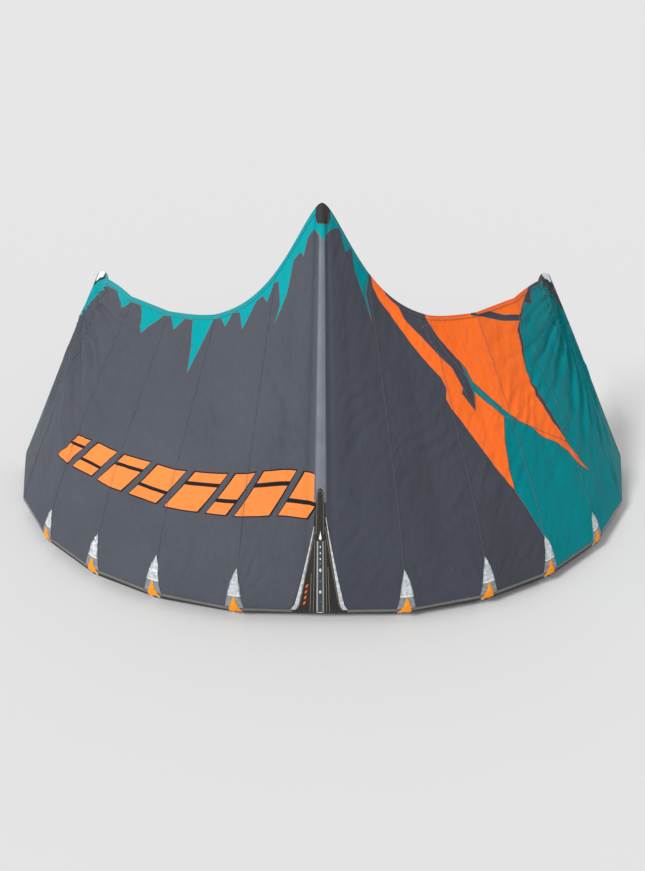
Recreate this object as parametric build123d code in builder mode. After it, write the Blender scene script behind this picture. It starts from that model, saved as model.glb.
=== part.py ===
from build123d import *
import math
import os

os.makedirs("parts", exist_ok=True)

# Inflatable kitesurf kite, standing on its leading edge with the trailing edge in the air.
# +X is across the span, +Y is behind the leading edge, +Z is up, and the floor is z = 0.
# A place on the wing is a span fraction u, 0 at the strut and 1 at the wingtip, and a share
# of the skin's curve from the leading edge, 0, to the trailing edge, 1.

# ---------------------------------------------------------------- driving dimensions, mm
SEGMENT_LENGTHS = (422, 428, 380, 400, 400, 462)       # leading edge, from the centre out
TIP_HEADING = 86             # degrees that the leading edge has turned at its end
BEND_POWER = 1.385           # how much of that turn comes late
FRONT_Y = -902               # y of the leading edge's axis at the centre
TUBE_R_CENTER = 103
TUBE_R_TIP = 54

LEAN_BACK = 29.6             # degrees that a chord leans back from upright
LEAN_IN = 19.6               # degrees that the wingtip chord leans inward
LEAN_IN_POWER = 2.2
CHORD_STRUT = 1980
CHORD_MID = 1396
CHORD_TIP = 1231
PEAK_WIDTH = 0.190           # span fraction over which the strut's peak dies away
PEAK_POWER = 1.82
TAPER_POWER = 8.8

LEAVE_ANGLE_CENTER = 20      # where the skin leaves the tube, in degrees before its crest
LEAVE_ANGLE_TIP = -3
ARRIVE_ANGLE_CENTER = 9      # slope of the skin at the trailing edge
ARRIVE_ANGLE_TIP = 4
WRAP_TURN_CENTER = 18        # degrees from where the skin leaves the tube to its front edge
WRAP_TURN_TIP = 6
FRONT_HANDLE = 0.30          # lengths of the skin curve's handles, as a share of the chord
REAR_HANDLE = 0.40

SLEEVE_WALL = 1.2
BLADDER_GAP = 0.6
BLADDER_WALL = 1.0
BLADDER_END = 2.0
SKIN_GAP = 3.5
SKIN_WALL = 1.5
PATCH_GAP = 1.2
PATCH_WALL = 1.0
END_CAP = 4.0
SEAT_GAP = 1.0               # between a sleeve and what is fastened to it

STRUT_R_FRONT = 52
STRUT_R_REAR = 28

VALVE_X = 230
VALVE_RAISE = 50             # degrees of the valve's axis above level, facing back
FLANGE_R = 42
SOCKET_R = 24
SOCKET_TOP = 12
SOCKET_FLOOR = 6             # thickness of the socket's floor, which the flap seals
INSERT_R = 20
INSERT_TOP = 18
NOZZLE_R = 11
NOZZLE_DEPTH = 16
THROAT_R = 8
CAP_OPEN_ANGLE = 110         # the cap rests open by this much
CAP_HINGE_X = -28
RUNNING_GAP = 0.5

HOSE_X = -150
HOSE_R = 8
HOSE_WALL = 1.5
HOSE_BEND = 60
HOSE_SHARE = 0.13            # where the hose enters the strut, as a share of its curve

LOOP_WIDTH = 26              # webbing loops: across, out of the surface, and along the line
LOOP_HEIGHT = 24
LOOP_DEPTH = 18
LOOP_WALL = 2.5
LOOP_ROUND = 6
LOOP_LIFT = 0.6
BRIDLE_SEAMS = (1, 3)
LEASH_X = 330

half_length = sum(SEGMENT_LENGTHS)
seam_arcs = [sum(SEGMENT_LENGTHS[:count]) for count in range(len(SEGMENT_LENGTHS) + 1)]
seam_fractions = [arc / half_length for arc in seam_arcs]
SEGMENTS = len(SEGMENT_LENGTHS)
MIRROR_PLANE = Plane.YZ


# ---------------------------------------------------------------- the wing's shape
def heading(u):
    return math.radians(TIP_HEADING * u**BEND_POWER)


def segment_heading(index):
    """Heading of one straight tube segment: the curve's at its middle, level at the centre."""
    if index == 0:
        return 0.0
    return heading((seam_fractions[index] + seam_fractions[index + 1]) / 2)


def seam_points():
    points = [Vector(0, FRONT_Y, 0)]
    for index, length in enumerate(SEGMENT_LENGTHS):
        turn = segment_heading(index)
        points.append(points[-1] + Vector(math.cos(turn), math.sin(turn), 0) * length)
    return points


SEAMS = seam_points()


def blend(first, last, u):
    return first + (last - first) * u


def tube_radius(u):
    return blend(TUBE_R_CENTER, TUBE_R_TIP, u)


def tube_axis(u):
    """Axis of the leading edge, which rests on the floor along its whole length."""
    arc = u * half_length
    index = max(i for i in range(SEGMENTS) if seam_arcs[i] <= arc + 1e-6)
    share = (arc - seam_arcs[index]) / SEGMENT_LENGTHS[index]
    place = SEAMS[index] + (SEAMS[index + 1] - SEAMS[index]) * share
    return Vector(place.X, place.Y, tube_radius(u))


def chord_length(u):
    plateau = CHORD_TIP + (CHORD_MID - CHORD_TIP) * (1 - u**TAPER_POWER)
    peak = (CHORD_STRUT - CHORD_MID) * math.exp(-((u / PEAK_WIDTH) ** PEAK_POWER))
    return plateau + peak


def chord_direction(u):
    lean_in = math.radians(LEAN_IN) * (1 - (1 - u) ** LEAN_IN_POWER)
    across = -math.sin(lean_in)
    back = math.sin(math.radians(LEAN_BACK))
    return Vector(across, back, math.sqrt(1 - across**2 - back**2))


def leave_angle(u):
    return blend(LEAVE_ANGLE_CENTER, LEAVE_ANGLE_TIP, u)


def front_angle(u):
    """Front edge of the skin, in degrees before the tube's crest."""
    return leave_angle(u) + blend(WRAP_TURN_CENTER, WRAP_TURN_TIP, u)


def tube_direction(u):
    return Vector(math.cos(heading(u)), math.sin(heading(u)), 0)


def section_plane(u):
    """Plane of one rib: x runs up the chord and y out of the wing's outer face."""
    chord = chord_direction(u)
    outward = tube_direction(u).cross(chord).normalized()
    return Plane(origin=tube_axis(u), x_dir=chord, z_dir=chord.cross(outward))


def skin_curve(u, lift):
    """Handles of the skin's curve in the rib plane, lift above the bare tube."""
    chord = chord_length(u)
    slant = chord_direction(u).cross(tube_direction(u)).length
    along = tube_radius(u) / slant + lift
    across = tube_radius(u) + lift
    leave = math.radians(leave_angle(u))
    arrive = math.radians(blend(ARRIVE_ANGLE_CENTER, ARRIVE_ANGLE_TIP, u))
    start = Vector(-along * math.sin(leave), across * math.cos(leave))
    leaving = Vector(along * math.cos(leave), across * math.sin(leave)).normalized()
    end = Vector(chord, lift)
    arriving = Vector(math.cos(arrive), -math.sin(arrive))
    return [
        start,
        start + leaving * (FRONT_HANDLE * chord),
        end - arriving * (REAR_HANDLE * chord),
        end,
    ]


def cut_curve(handles, share):
    """Split a Bezier curve and return the handles of both halves."""
    front, rear = [handles[0]], [handles[-1]]
    row = handles
    while len(row) > 1:
        row = [a + (b - a) * share for a, b in zip(row, row[1:])]
        front.append(row[0])
        rear.append(row[-1])
    return front, rear[::-1]


def curve_stretch(handles, start, end):
    rest = cut_curve(handles, start)[1] if start > 0 else handles
    return cut_curve(rest, (end - start) / (1 - start))[0] if end < 1 else rest


def curve_point(handles, share):
    return cut_curve(handles, share)[0][-1]


def skin_strip_profile(u, start, end, low, high):
    """Section of a strip lying on the skin's curve from start to end."""
    lower = curve_stretch(skin_curve(u, low), start, end)
    upper = curve_stretch(skin_curve(u, high), start, end)
    with BuildSketch(section_plane(u)) as profile:
        with BuildLine():
            Bezier(*lower)
            Line(lower[-1], upper[-1])
            Bezier(*upper[::-1])
            Line(upper[0], lower[0])
        make_face()
    return profile.sketch


def wrapped_profile(u, end, low, high):
    """Section of a skin that starts on the tube's front and follows the curve to end."""
    slant = chord_direction(u).cross(tube_direction(u)).length
    turns = (front_angle(u), (front_angle(u) + leave_angle(u)) / 2)
    edges = []
    for lift in (low, high):
        along, across = tube_radius(u) / slant + lift, tube_radius(u) + lift
        front = [
            Vector(-along * math.sin(math.radians(turn)), across * math.cos(math.radians(turn)))
            for turn in turns
        ]
        edges.append((front, curve_stretch(skin_curve(u, lift), 0, end)))
    (low_front, lower), (high_front, upper) = edges
    with BuildSketch(section_plane(u)) as profile:
        with BuildLine():
            ThreePointArc(low_front[0], low_front[1], lower[0])
            Bezier(*lower)
            Line(lower[-1], upper[-1])
            Bezier(*upper[::-1])
            ThreePointArc(upper[0], high_front[1], high_front[0])
            Line(high_front[0], low_front[0])
        make_face()
    return profile.sketch


def seam_plane(index, side=1):
    """Plane that cuts the leading edge at one seam, square to its average direction."""
    if index == 0:
        turn = 0.0
    elif index == SEGMENTS:
        turn = segment_heading(SEGMENTS - 1)
    else:
        turn = (segment_heading(index - 1) + segment_heading(index)) / 2
    place = SEAMS[index]
    origin = Vector(side * place.X, place.Y, tube_radius(seam_fractions[index]))
    return Plane(origin=origin, z_dir=Vector(math.cos(turn), side * math.sin(turn), 0))


def tube_sections(seams, lift):
    """Circles of the leading edge at signed seam numbers, negative on the left half."""
    sections = []
    for seam in seams:
        side = -1 if seam < 0 else 1
        with BuildSketch(seam_plane(abs(seam), side)) as circle:
            Circle(tube_radius(seam_fractions[abs(seam)]) + lift)
        sections.append(circle.sketch)
    return sections


def fitting_plane(x, raised, lift=0):
    """Plane on the back of the centre segment: z points out of the tube, x along it."""
    radius = tube_radius(abs(x) / half_length)
    outward = Vector(0, math.cos(math.radians(raised)), math.sin(math.radians(raised)))
    axis = Vector(x, FRONT_Y, radius)
    return Plane(origin=axis + outward * (radius + lift), x_dir=Vector(1, 0, 0), z_dir=outward)


def save(builder, name):
    builder.part.label = name
    export_step(builder.part, f"parts/{name}.step")


def save_pair(builder, name):
    """Write a right-hand piece and its mirror image."""
    save(builder, f"{name[0]}_right{name[1]}")
    with BuildPart() as left:
        mirror(builder.part, about=MIRROR_PLANE)
    save(left, f"{name[0]}_left{name[1]}")


# ---------------------------------------------------------------- leading edge
valve_plane = fitting_plane(VALVE_X, VALVE_RAISE)
HOLE_DEPTH = 30
with BuildPart(valve_plane) as valve_hole:
    Cylinder(SOCKET_R + RUNNING_GAP, 2 * HOLE_DEPTH)

with BuildPart() as leading_edge_center:
    loft(tube_sections((-1, 0, 1), 0), ruled=True)
    loft(tube_sections((-1, 0, 1), -SLEEVE_WALL), ruled=True, mode=Mode.SUBTRACT)
    add(valve_hole.part, mode=Mode.SUBTRACT)
save(leading_edge_center, "leading_edge_center")

for index in range(1, SEGMENTS):
    with BuildPart() as sleeve:
        loft(tube_sections((index, index + 1), 0), ruled=True)
        loft(tube_sections((index, index + 1), -SLEEVE_WALL), ruled=True, mode=Mode.SUBTRACT)
    save_pair(sleeve, ("leading_edge", f"_{index}"))

with BuildPart() as end_cap:
    with BuildSketch(seam_plane(SEGMENTS)):
        Circle(tube_radius(1))
    extrude(amount=END_CAP)
save_pair(end_cap, ("leading_edge_end", ""))

all_seams = range(-SEGMENTS, SEGMENTS + 1)
with BuildPart() as bladder:
    bladder_outer = -SLEEVE_WALL - BLADDER_GAP
    loft(tube_sections(all_seams, bladder_outer), ruled=True)
    loft(tube_sections(all_seams, bladder_outer - BLADDER_WALL), ruled=True, mode=Mode.SUBTRACT)
    for side in (1, -1):
        with BuildSketch(seam_plane(SEGMENTS, side)):
            Circle(tube_radius(1) + bladder_outer)
        extrude(amount=-side * BLADDER_END)
    add(valve_hole.part, mode=Mode.SUBTRACT)
save(bladder, "leading_edge_bladder")

# ---------------------------------------------------------------- canopy
SKIN_LOW, SKIN_HIGH = SKIN_GAP, SKIN_GAP + SKIN_WALL
PATCH_LOW = SKIN_HIGH + PATCH_GAP
PATCH_HIGH = PATCH_LOW + PATCH_WALL
RIBS_PER_PANEL = (5, 3, 3, 3, 3, 4)


def rib_fractions(index, count):
    first, last = seam_fractions[index], seam_fractions[index + 1]
    return [blend(first, last, step / (count - 1)) for step in range(count)]


for index, ribs in enumerate(RIBS_PER_PANEL):
    with BuildPart() as panel:
        fractions = rib_fractions(index, ribs)
        loft([wrapped_profile(u, 1, SKIN_LOW, SKIN_HIGH) for u in fractions])
    save_pair(panel, ("canopy", f"_{index + 1}"))

# The trailing edge tape lies on the outer face of the skin along its whole free edge.
TAPE_START = 0.985
with BuildPart() as tape:
    for index, ribs in enumerate(RIBS_PER_PANEL):
        fractions = rib_fractions(index, ribs)
        loft([skin_strip_profile(u, TAPE_START, 1, PATCH_LOW, PATCH_HIGH) for u in fractions])
save_pair(tape, ("trailing_edge_tape", ""))

# The seam tape covers the skin's front edge, low on the front of the tube.
FRONT_TAPE_SPAN = 14         # degrees round the tube
FRONT_TAPE_GAP = 0.5


def front_tape_profile(u):
    slant = chord_direction(u).cross(tube_direction(u)).length
    rows = []
    for lift in (SKIN_LOW, SKIN_HIGH):
        along, across = tube_radius(u) / slant + lift, tube_radius(u) + lift
        first = front_angle(u) + FRONT_TAPE_GAP
        turns = [math.radians(first + FRONT_TAPE_SPAN * part) for part in (0, 0.5, 1)]
        rows.append([Vector(-along * math.sin(turn), across * math.cos(turn)) for turn in turns])
    low, high = rows
    with BuildSketch(section_plane(u)) as profile:
        with BuildLine():
            ThreePointArc(*low)
            Line(low[-1], high[-1])
            ThreePointArc(*high[::-1])
            Line(high[0], low[0])
        make_face()
    return profile.sketch


with BuildPart() as front_tape:
    for index in range(SEGMENTS):
        loft([front_tape_profile(u) for u in rib_fractions(index, 3)])
save_pair(front_tape, ("leading_edge_tape", ""))

# A webbing hem closes each wingtip, just past the last rib.
HEM_WIDTH = 14
HEM_PROUD = 1
with BuildPart() as hem:
    add(wrapped_profile(1, 1, SKIN_LOW - HEM_PROUD, SKIN_HIGH + HEM_PROUD))
    extrude(amount=HEM_WIDTH, dir=section_plane(1).z_dir)
save_pair(hem, ("wingtip_hem", ""))

# Wingtip corner patch: a triangle with its long side on the hem.
CORNER_SPAN = 0.035
CORNER_START = 0.92          # shares of the skin's curve at the hem
CORNER_END = 0.98
CORNER_POINT = 0.97          # where the patch's inner point starts
with BuildPart() as corner:
    loft(
        [
            skin_strip_profile(1 - CORNER_SPAN, CORNER_POINT, CORNER_END, PATCH_LOW, PATCH_HIGH),
            skin_strip_profile(1, CORNER_START, CORNER_END, PATCH_LOW, PATCH_HIGH),
        ],
        ruled=True,
    )
save_pair(corner, ("wingtip_corner_patch", ""))

# Reflective flashes stand on the skin's front edge at the seams, like teeth. Each is lofted
# through ribs from one foot over its point to the other foot.
FLASH_REACHES = {1: 0.137, 2: 0.142, 3: 0.139, 4: 0.108}
FLASH_HALF = 46
FLASH_RIBS = 4
FLASH_LIFT = 1
POINT_REACH = 0.004          # reach of the skin's curve that stands for a sharp point
with BuildPart() as flashes:
    for seam, reach in FLASH_REACHES.items():
        sections = []
        for step in range(-FLASH_RIBS, FLASH_RIBS + 1):
            outward = step / FLASH_RIBS
            u = seam_fractions[seam] + outward * FLASH_HALF / half_length
            end = blend(reach, POINT_REACH, abs(outward))
            sections.append(wrapped_profile(u, end, PATCH_LOW + FLASH_LIFT, PATCH_HIGH + FLASH_LIFT))
        loft(sections, ruled=True)
save_pair(flashes, ("reflective_flashes", ""))

# ---------------------------------------------------------------- strut
CENTER_PLANE = section_plane(0)
center_curve = skin_curve(0, SKIN_LOW)
STRUT_SHARES = (0.02, 0.2, 0.4, 0.6, 0.8, 0.985)
SHARE_STEP = 0.01


def strut_radius(share):
    return blend(STRUT_R_FRONT, STRUT_R_REAR, share)


def strut_plane(share):
    """Plane square to the strut, centred so that the strut's crest touches the skin."""
    here = curve_point(center_curve, share)
    along = (curve_point(center_curve, share + SHARE_STEP) - here).normalized()
    inward = Vector(along.Y, -along.X)
    middle = here + inward * (strut_radius(share) + SEAT_GAP)
    origin = CENTER_PLANE.from_local_coords(middle)
    return Plane(
        origin=origin,
        x_dir=Vector(1, 0, 0),
        z_dir=CENTER_PLANE.from_local_coords(along) - CENTER_PLANE.origin,
    )


def strut_sections(shares, lift):
    sections = []
    for share in shares:
        with BuildSketch(strut_plane(share)) as circle:
            Circle(strut_radius(share) + lift)
        sections.append(circle.sketch)
    return sections


with BuildPart() as tube_cutter:
    loft(tube_sections((-1, 0, 1), SEAT_GAP), ruled=True)

with BuildPart() as strut:
    loft(strut_sections(STRUT_SHARES, 0))
    loft(strut_sections(STRUT_SHARES, -SLEEVE_WALL), mode=Mode.SUBTRACT)
    add(tube_cutter.part, mode=Mode.SUBTRACT)
save(strut, "strut_sleeve")

BLADDER_SHARES = (0.08, 0.2, 0.4, 0.6, 0.8, 0.975)
BLADDER_HOLLOW_SHARES = (0.085, 0.2, 0.4, 0.6, 0.8, 0.97)
with BuildPart() as strut_bladder:
    bladder_lift = -SLEEVE_WALL - BLADDER_GAP
    loft(strut_sections(BLADDER_SHARES, bladder_lift))
    loft(strut_sections(BLADDER_HOLLOW_SHARES, bladder_lift - BLADDER_WALL), mode=Mode.SUBTRACT)
    add(tube_cutter.part, mode=Mode.SUBTRACT)
save(strut_bladder, "strut_bladder")

with BuildPart() as strut_end:
    with BuildSketch(strut_plane(STRUT_SHARES[-1])):
        Circle(strut_radius(STRUT_SHARES[-1]))
    extrude(amount=END_CAP)
save(strut_end, "strut_end_cap")

# The strut's attachment strip runs over the skin on both sides of the centre seam.
STRIP_FRACTION = 0.0160
STRIP_SHARES = (0.27, 0.982)
with BuildPart() as strip_half:
    loft([skin_strip_profile(u, *STRIP_SHARES, PATCH_LOW, PATCH_HIGH) for u in (0, STRIP_FRACTION)])
with BuildPart() as strip:
    add(strip_half.part)
    mirror(strip_half.part, about=MIRROR_PLANE)
save(strip, "strut_attachment_strip")

# The strut root patch is a dark triangle over the skin, point up, astride the centre seam.
# Its right and left halves meet at the seam, and the inflation gauge lies on top of it.
ROOT_SPAN = 0.054
ROOT_REACH = 0.25            # under the attachment strip's start
ROOT_RIBS = 6
with BuildPart() as root_half:
    sections = []
    for step in range(ROOT_RIBS + 1):
        outward = step / ROOT_RIBS
        end = blend(ROOT_REACH, POINT_REACH, outward)
        sections.append(wrapped_profile(outward * ROOT_SPAN, end, PATCH_LOW, PATCH_HIGH))
    loft(sections, ruled=True)
with BuildPart() as root_patch:
    add(root_half.part)
    mirror(root_half.part, about=MIRROR_PLANE)
save(root_patch, "strut_root_patch")

GAUGE_SPAN = 0.0075
GAUGE_REACH = 0.19
gauge_low = PATCH_HIGH + PATCH_GAP
gauge_high = gauge_low + PATCH_WALL
with BuildPart() as gauge_half:
    gauge_ribs = (0, GAUGE_SPAN)
    loft([wrapped_profile(u, GAUGE_REACH, gauge_low, gauge_high) for u in gauge_ribs], ruled=True)
with BuildPart() as gauge:
    add(gauge_half.part)
    mirror(gauge_half.part, about=MIRROR_PLANE)
save(gauge, "inflation_gauge")

# ---------------------------------------------------------------- inflation valve
# The valve's own axis is z, out of the tube, with z = 0 on the sleeve.
FLANGE_LOW, FLANGE_HIGH = 0.4, 2.0
with BuildPart() as flange:
    loft(tube_sections((-1, 0, 1), FLANGE_HIGH), ruled=True)
    loft(tube_sections((-1, 0, 1), FLANGE_LOW), ruled=True, mode=Mode.SUBTRACT)
    with BuildSketch(valve_plane.offset(-HOLE_DEPTH)):
        Circle(FLANGE_R)
        Circle(SOCKET_R + RUNNING_GAP, mode=Mode.SUBTRACT)
    extrude(amount=2 * HOLE_DEPTH, mode=Mode.INTERSECT)
save(flange, "valve_flange")

socket_bottom = -SOCKET_TOP
with BuildPart() as socket:
    with BuildSketch(valve_plane.offset(socket_bottom)):
        Circle(SOCKET_R)
        Circle(SOCKET_R / 2, mode=Mode.SUBTRACT)
    extrude(amount=SOCKET_TOP - socket_bottom)
    with BuildSketch(valve_plane.offset(socket_bottom + SOCKET_FLOOR)):
        Circle(INSERT_R + RUNNING_GAP)
    extrude(amount=2 * SOCKET_TOP, mode=Mode.SUBTRACT)
save(socket, "valve_socket")

GRIP_R = 23
GRIP_NOTCH = 3
GRIP_NOTCHES = 8
insert_bottom = socket_bottom + SOCKET_FLOOR + RUNNING_GAP
with BuildPart() as insert:
    with BuildSketch(valve_plane.offset(insert_bottom)):
        Circle(INSERT_R)
    extrude(amount=INSERT_TOP - insert_bottom)
    with BuildSketch(valve_plane.offset(SOCKET_TOP + RUNNING_GAP)):
        Circle(GRIP_R)
        with PolarLocations(GRIP_R, GRIP_NOTCHES):
            Circle(GRIP_NOTCH, mode=Mode.SUBTRACT)
    extrude(amount=INSERT_TOP - SOCKET_TOP - RUNNING_GAP)
    with BuildSketch(valve_plane.offset(INSERT_TOP - NOZZLE_DEPTH)):
        Circle(NOZZLE_R)
    extrude(amount=NOZZLE_DEPTH, mode=Mode.SUBTRACT)
    with BuildSketch(valve_plane.offset(insert_bottom)):
        Circle(THROAT_R)
    extrude(amount=INSERT_TOP, mode=Mode.SUBTRACT)
save(insert, "valve_insert")

# The one-way flap hangs under the socket's floor and swings into the tube.
FLAP_R = 15
FLAP_WALL = 1.5
flap_top = socket_bottom - RUNNING_GAP
with BuildPart() as flap:
    with BuildSketch(valve_plane.offset(flap_top - FLAP_WALL)):
        Circle(FLAP_R)
    extrude(amount=FLAP_WALL)
save(flap, "valve_flap")

# The cap is drawn shut, with its plug in the insert, and then swung open on its strap.
CAP_WALL = 3.5
PLUG_DEPTH = 6
STRAP_WIDTH = 9
PLUG_CLEAR = 0.6
cap_bottom = INSERT_TOP + RUNNING_GAP
with BuildPart() as cap:
    with BuildSketch(valve_plane.offset(cap_bottom)):
        Circle(GRIP_R)
        with Locations((CAP_HINGE_X / 2, 0)):
            Rectangle(-CAP_HINGE_X, STRAP_WIDTH)
    extrude(amount=CAP_WALL)
    with BuildSketch(valve_plane.offset(cap_bottom - PLUG_DEPTH)):
        Circle(NOZZLE_R - PLUG_CLEAR)
    extrude(amount=PLUG_DEPTH)
cap_hinge = Axis(
    valve_plane.from_local_coords(Vector(CAP_HINGE_X, 0, cap_bottom)),
    valve_plane.y_dir,
)
with BuildPart() as open_cap:
    add(cap.part.rotate(cap_hinge, -CAP_OPEN_ANGLE))
save(open_cap, "valve_cap")

# ---------------------------------------------------------------- one-pump hose
# It leaves the leading edge beside the strut, turns square and enters the strut's flank.
strut_place = strut_plane(HOSE_SHARE).origin
tube_place = Vector(0, FRONT_Y, TUBE_R_CENTER)
hose_raise = math.degrees(math.atan2(strut_place.Z - tube_place.Z, strut_place.Y - FRONT_Y))
hose_plane = fitting_plane(HOSE_X, hose_raise)
hose_rise = (strut_place - tube_place).length - tube_radius(-HOSE_X / half_length)
hose_reach = -HOSE_X - strut_radius(HOSE_SHARE)
HOSE_CLEAR = 1.5
# The hose's own plane: x towards the strut, y out of the tube.
hose_route = Plane(origin=hose_plane.origin, x_dir=Vector(1, 0, 0), z_dir=-hose_plane.y_dir)
with BuildPart() as hose:
    with BuildLine(hose_route) as hose_line:
        start = Line((0, HOSE_CLEAR), (0, hose_rise - HOSE_BEND))
        bend = RadiusArc(start @ 1, (HOSE_BEND, hose_rise), HOSE_BEND)
        Line(bend @ 1, (hose_reach - HOSE_CLEAR, hose_rise))
    with BuildSketch(hose_plane.offset(HOSE_CLEAR)):
        Circle(HOSE_R)
        Circle(HOSE_R - HOSE_WALL, mode=Mode.SUBTRACT)
    sweep(path=hose_line.wires()[0])
save(hose, "one_pump_hose")

FITTING_R = 15
FITTING_WALL = 5
with BuildPart() as fittings:
    with BuildSketch(hose_plane.offset(HOSE_CLEAR)):
        Circle(FITTING_R)
        Circle(HOSE_R + RUNNING_GAP, mode=Mode.SUBTRACT)
    extrude(amount=FITTING_WALL)
    strut_end_plane = Plane(
        origin=hose_route.from_local_coords(Vector(hose_reach - HOSE_CLEAR, hose_rise)),
        z_dir=Vector(-1, 0, 0),
    )
    with BuildSketch(strut_end_plane):
        Circle(FITTING_R)
        Circle(HOSE_R + RUNNING_GAP, mode=Mode.SUBTRACT)
    extrude(amount=FITTING_WALL)
save(fittings, "hose_fittings")

# The pinch clamp rides on the hose's straight run, with its lever behind.
CLAMP_HEIGHT = 45
CLAMP_SIZE = (24, 30)
CLAMP_WALL = 12
CLAMP_ROUND = 4
with BuildPart() as clamp:
    with BuildSketch(hose_plane.offset(CLAMP_HEIGHT)):
        RectangleRounded(*CLAMP_SIZE, CLAMP_ROUND)
        Circle(HOSE_R + RUNNING_GAP, mode=Mode.SUBTRACT)
    extrude(amount=CLAMP_WALL)
save(clamp, "hose_clamp_body")

LEVER_WALL = 4
LEVER_WIDTH = 14
LEVER_LENGTH = 40
lever_y = CLAMP_SIZE[1] / 2 + RUNNING_GAP
with BuildPart() as lever:
    with BuildSketch(hose_plane.offset(CLAMP_HEIGHT)):
        with Locations((0, lever_y + LEVER_WALL / 2)):
            Rectangle(LEVER_WIDTH, LEVER_WALL)
    extrude(amount=LEVER_LENGTH)
save(lever, "hose_clamp_lever")


# ---------------------------------------------------------------- webbing loops
def webbing_loop(plane):
    """A flat loop of webbing standing on a surface, open along the plane's y."""
    side_plane = Plane(origin=plane.origin, x_dir=plane.x_dir, z_dir=plane.y_dir)
    hole = (LOOP_WIDTH - 2 * LOOP_WALL, LOOP_HEIGHT - 2 * LOOP_WALL)
    lift = -0.5 * LOOP_HEIGHT - LOOP_LIFT
    with BuildPart() as loop:
        with BuildSketch(side_plane.offset(-LOOP_DEPTH / 2)):
            with Locations((0, lift)):
                RectangleRounded(LOOP_WIDTH, LOOP_HEIGHT, LOOP_ROUND)
                RectangleRounded(*hole, LOOP_ROUND - LOOP_WALL, mode=Mode.SUBTRACT)
        extrude(amount=LOOP_DEPTH)
    return loop.part


with BuildPart() as leash_loop:
    add(webbing_loop(fitting_plane(LEASH_X, 0)))
save(leash_loop, "pump_leash_loop")

with BuildPart() as bridle_loops:
    for seam in BRIDLE_SEAMS:
        u = seam_fractions[seam]
        inward = Vector(-math.sin(heading(u)), math.cos(heading(u)), 0)
        place = tube_axis(u) + inward * (tube_radius(u) + SEAT_GAP)
        add(webbing_loop(Plane(origin=place, x_dir=tube_direction(u), z_dir=inward)))
save_pair(bridle_loops, ("front_bridle_loops", ""))

REAR_LOOP_INSET = 60         # from the trailing edge, and from the wingtip
REAR_LOOP_SIDE = 20
tip_plane = section_plane(1)
rear_x = CHORD_TIP - REAR_LOOP_INSET
rear_place = tip_plane.from_local_coords(Vector(rear_x, -SEAT_GAP, -REAR_LOOP_SIDE))
with BuildPart() as rear_loop:
    add(webbing_loop(Plane(origin=rear_place, x_dir=tip_plane.x_dir, z_dir=-tip_plane.y_dir)))
save_pair(rear_loop, ("rear_line_loop", ""))
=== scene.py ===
# %% [markdown]
# # An inflatable kitesurf kite, parked on its leading edge
#
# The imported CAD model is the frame: tubes, panels, valve and hose are already there, at their
# real size and place. This script gives the kite its looks. The canopy becomes one cloth sheet
# on each side, with its coloured inserts cut into the cloth, the tubes get puckered sailcloth,
# and every small piece gets a finish of its own.

import math

import bmesh
import bpy
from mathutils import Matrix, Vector, noise


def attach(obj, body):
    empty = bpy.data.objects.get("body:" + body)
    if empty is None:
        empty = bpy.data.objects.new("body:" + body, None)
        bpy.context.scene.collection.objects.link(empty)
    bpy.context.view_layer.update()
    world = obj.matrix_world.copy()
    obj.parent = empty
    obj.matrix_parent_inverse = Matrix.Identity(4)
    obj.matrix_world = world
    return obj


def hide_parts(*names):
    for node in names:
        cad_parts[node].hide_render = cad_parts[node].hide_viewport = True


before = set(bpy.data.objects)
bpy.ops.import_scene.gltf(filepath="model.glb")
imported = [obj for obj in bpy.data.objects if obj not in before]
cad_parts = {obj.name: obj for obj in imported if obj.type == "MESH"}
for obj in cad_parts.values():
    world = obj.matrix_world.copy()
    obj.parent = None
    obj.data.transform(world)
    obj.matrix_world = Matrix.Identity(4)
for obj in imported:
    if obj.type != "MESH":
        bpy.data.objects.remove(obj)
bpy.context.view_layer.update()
BODY = "kite"

# %% [markdown]
# The camera comes first, because every later choice is judged through it. It stands a little
# right of the strut's line and looks down on the kite's outer face.

# %% Camera
AIM = Vector((0.0, 0.300, 0.281))
DISTANCE = 5.60
ELEVATION = math.radians(33.5)
AZIMUTH = math.radians(0.5)
LENS = 50.87


def make_camera():
    data = bpy.data.cameras.new("camera")
    data.sensor_fit = "HORIZONTAL"
    data.sensor_width = 36.0
    data.lens = LENS
    camera = bpy.data.objects.new("camera", data)
    back = Vector((math.sin(AZIMUTH), -math.cos(AZIMUTH), 0)) * math.cos(ELEVATION)
    back.z = math.sin(ELEVATION)
    camera.location = AIM + back * DISTANCE
    camera.rotation_euler = (-back).to_track_quat("-Z", "Y").to_euler()
    bpy.context.scene.collection.objects.link(camera)
    bpy.context.scene.camera = camera
    return camera


print("camera at", [round(c, 2) for c in make_camera().location])

# %% [markdown]
# The studio is a pale floor that runs out of sight, an even sky and one broad sun from the
# front left. The even sky keeps the floor one tone, with a soft dark line only where the tube
# touches it, and the sun's slant shows the folds in the cloth.

# %% Studio
FLOOR_SIZE = 120.0
FLOOR_ALBEDO = 0.705
SKY_STRENGTH = 0.66
SUN_STRENGTH = 2.2
SUN_SPREAD = math.radians(12)
SUN_FROM = Vector((-2.6, -2.2, 3.0))


def shader(name, roughness, specular=0.5):
    """A new material with its node tree and its Principled node."""
    material = bpy.data.materials.new(name)
    material.use_nodes = True
    tree = material.node_tree
    principled = tree.nodes["Principled BSDF"]
    principled.inputs["Roughness"].default_value = roughness
    principled.inputs["Specular IOR Level"].default_value = specular
    return material, tree, principled


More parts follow.
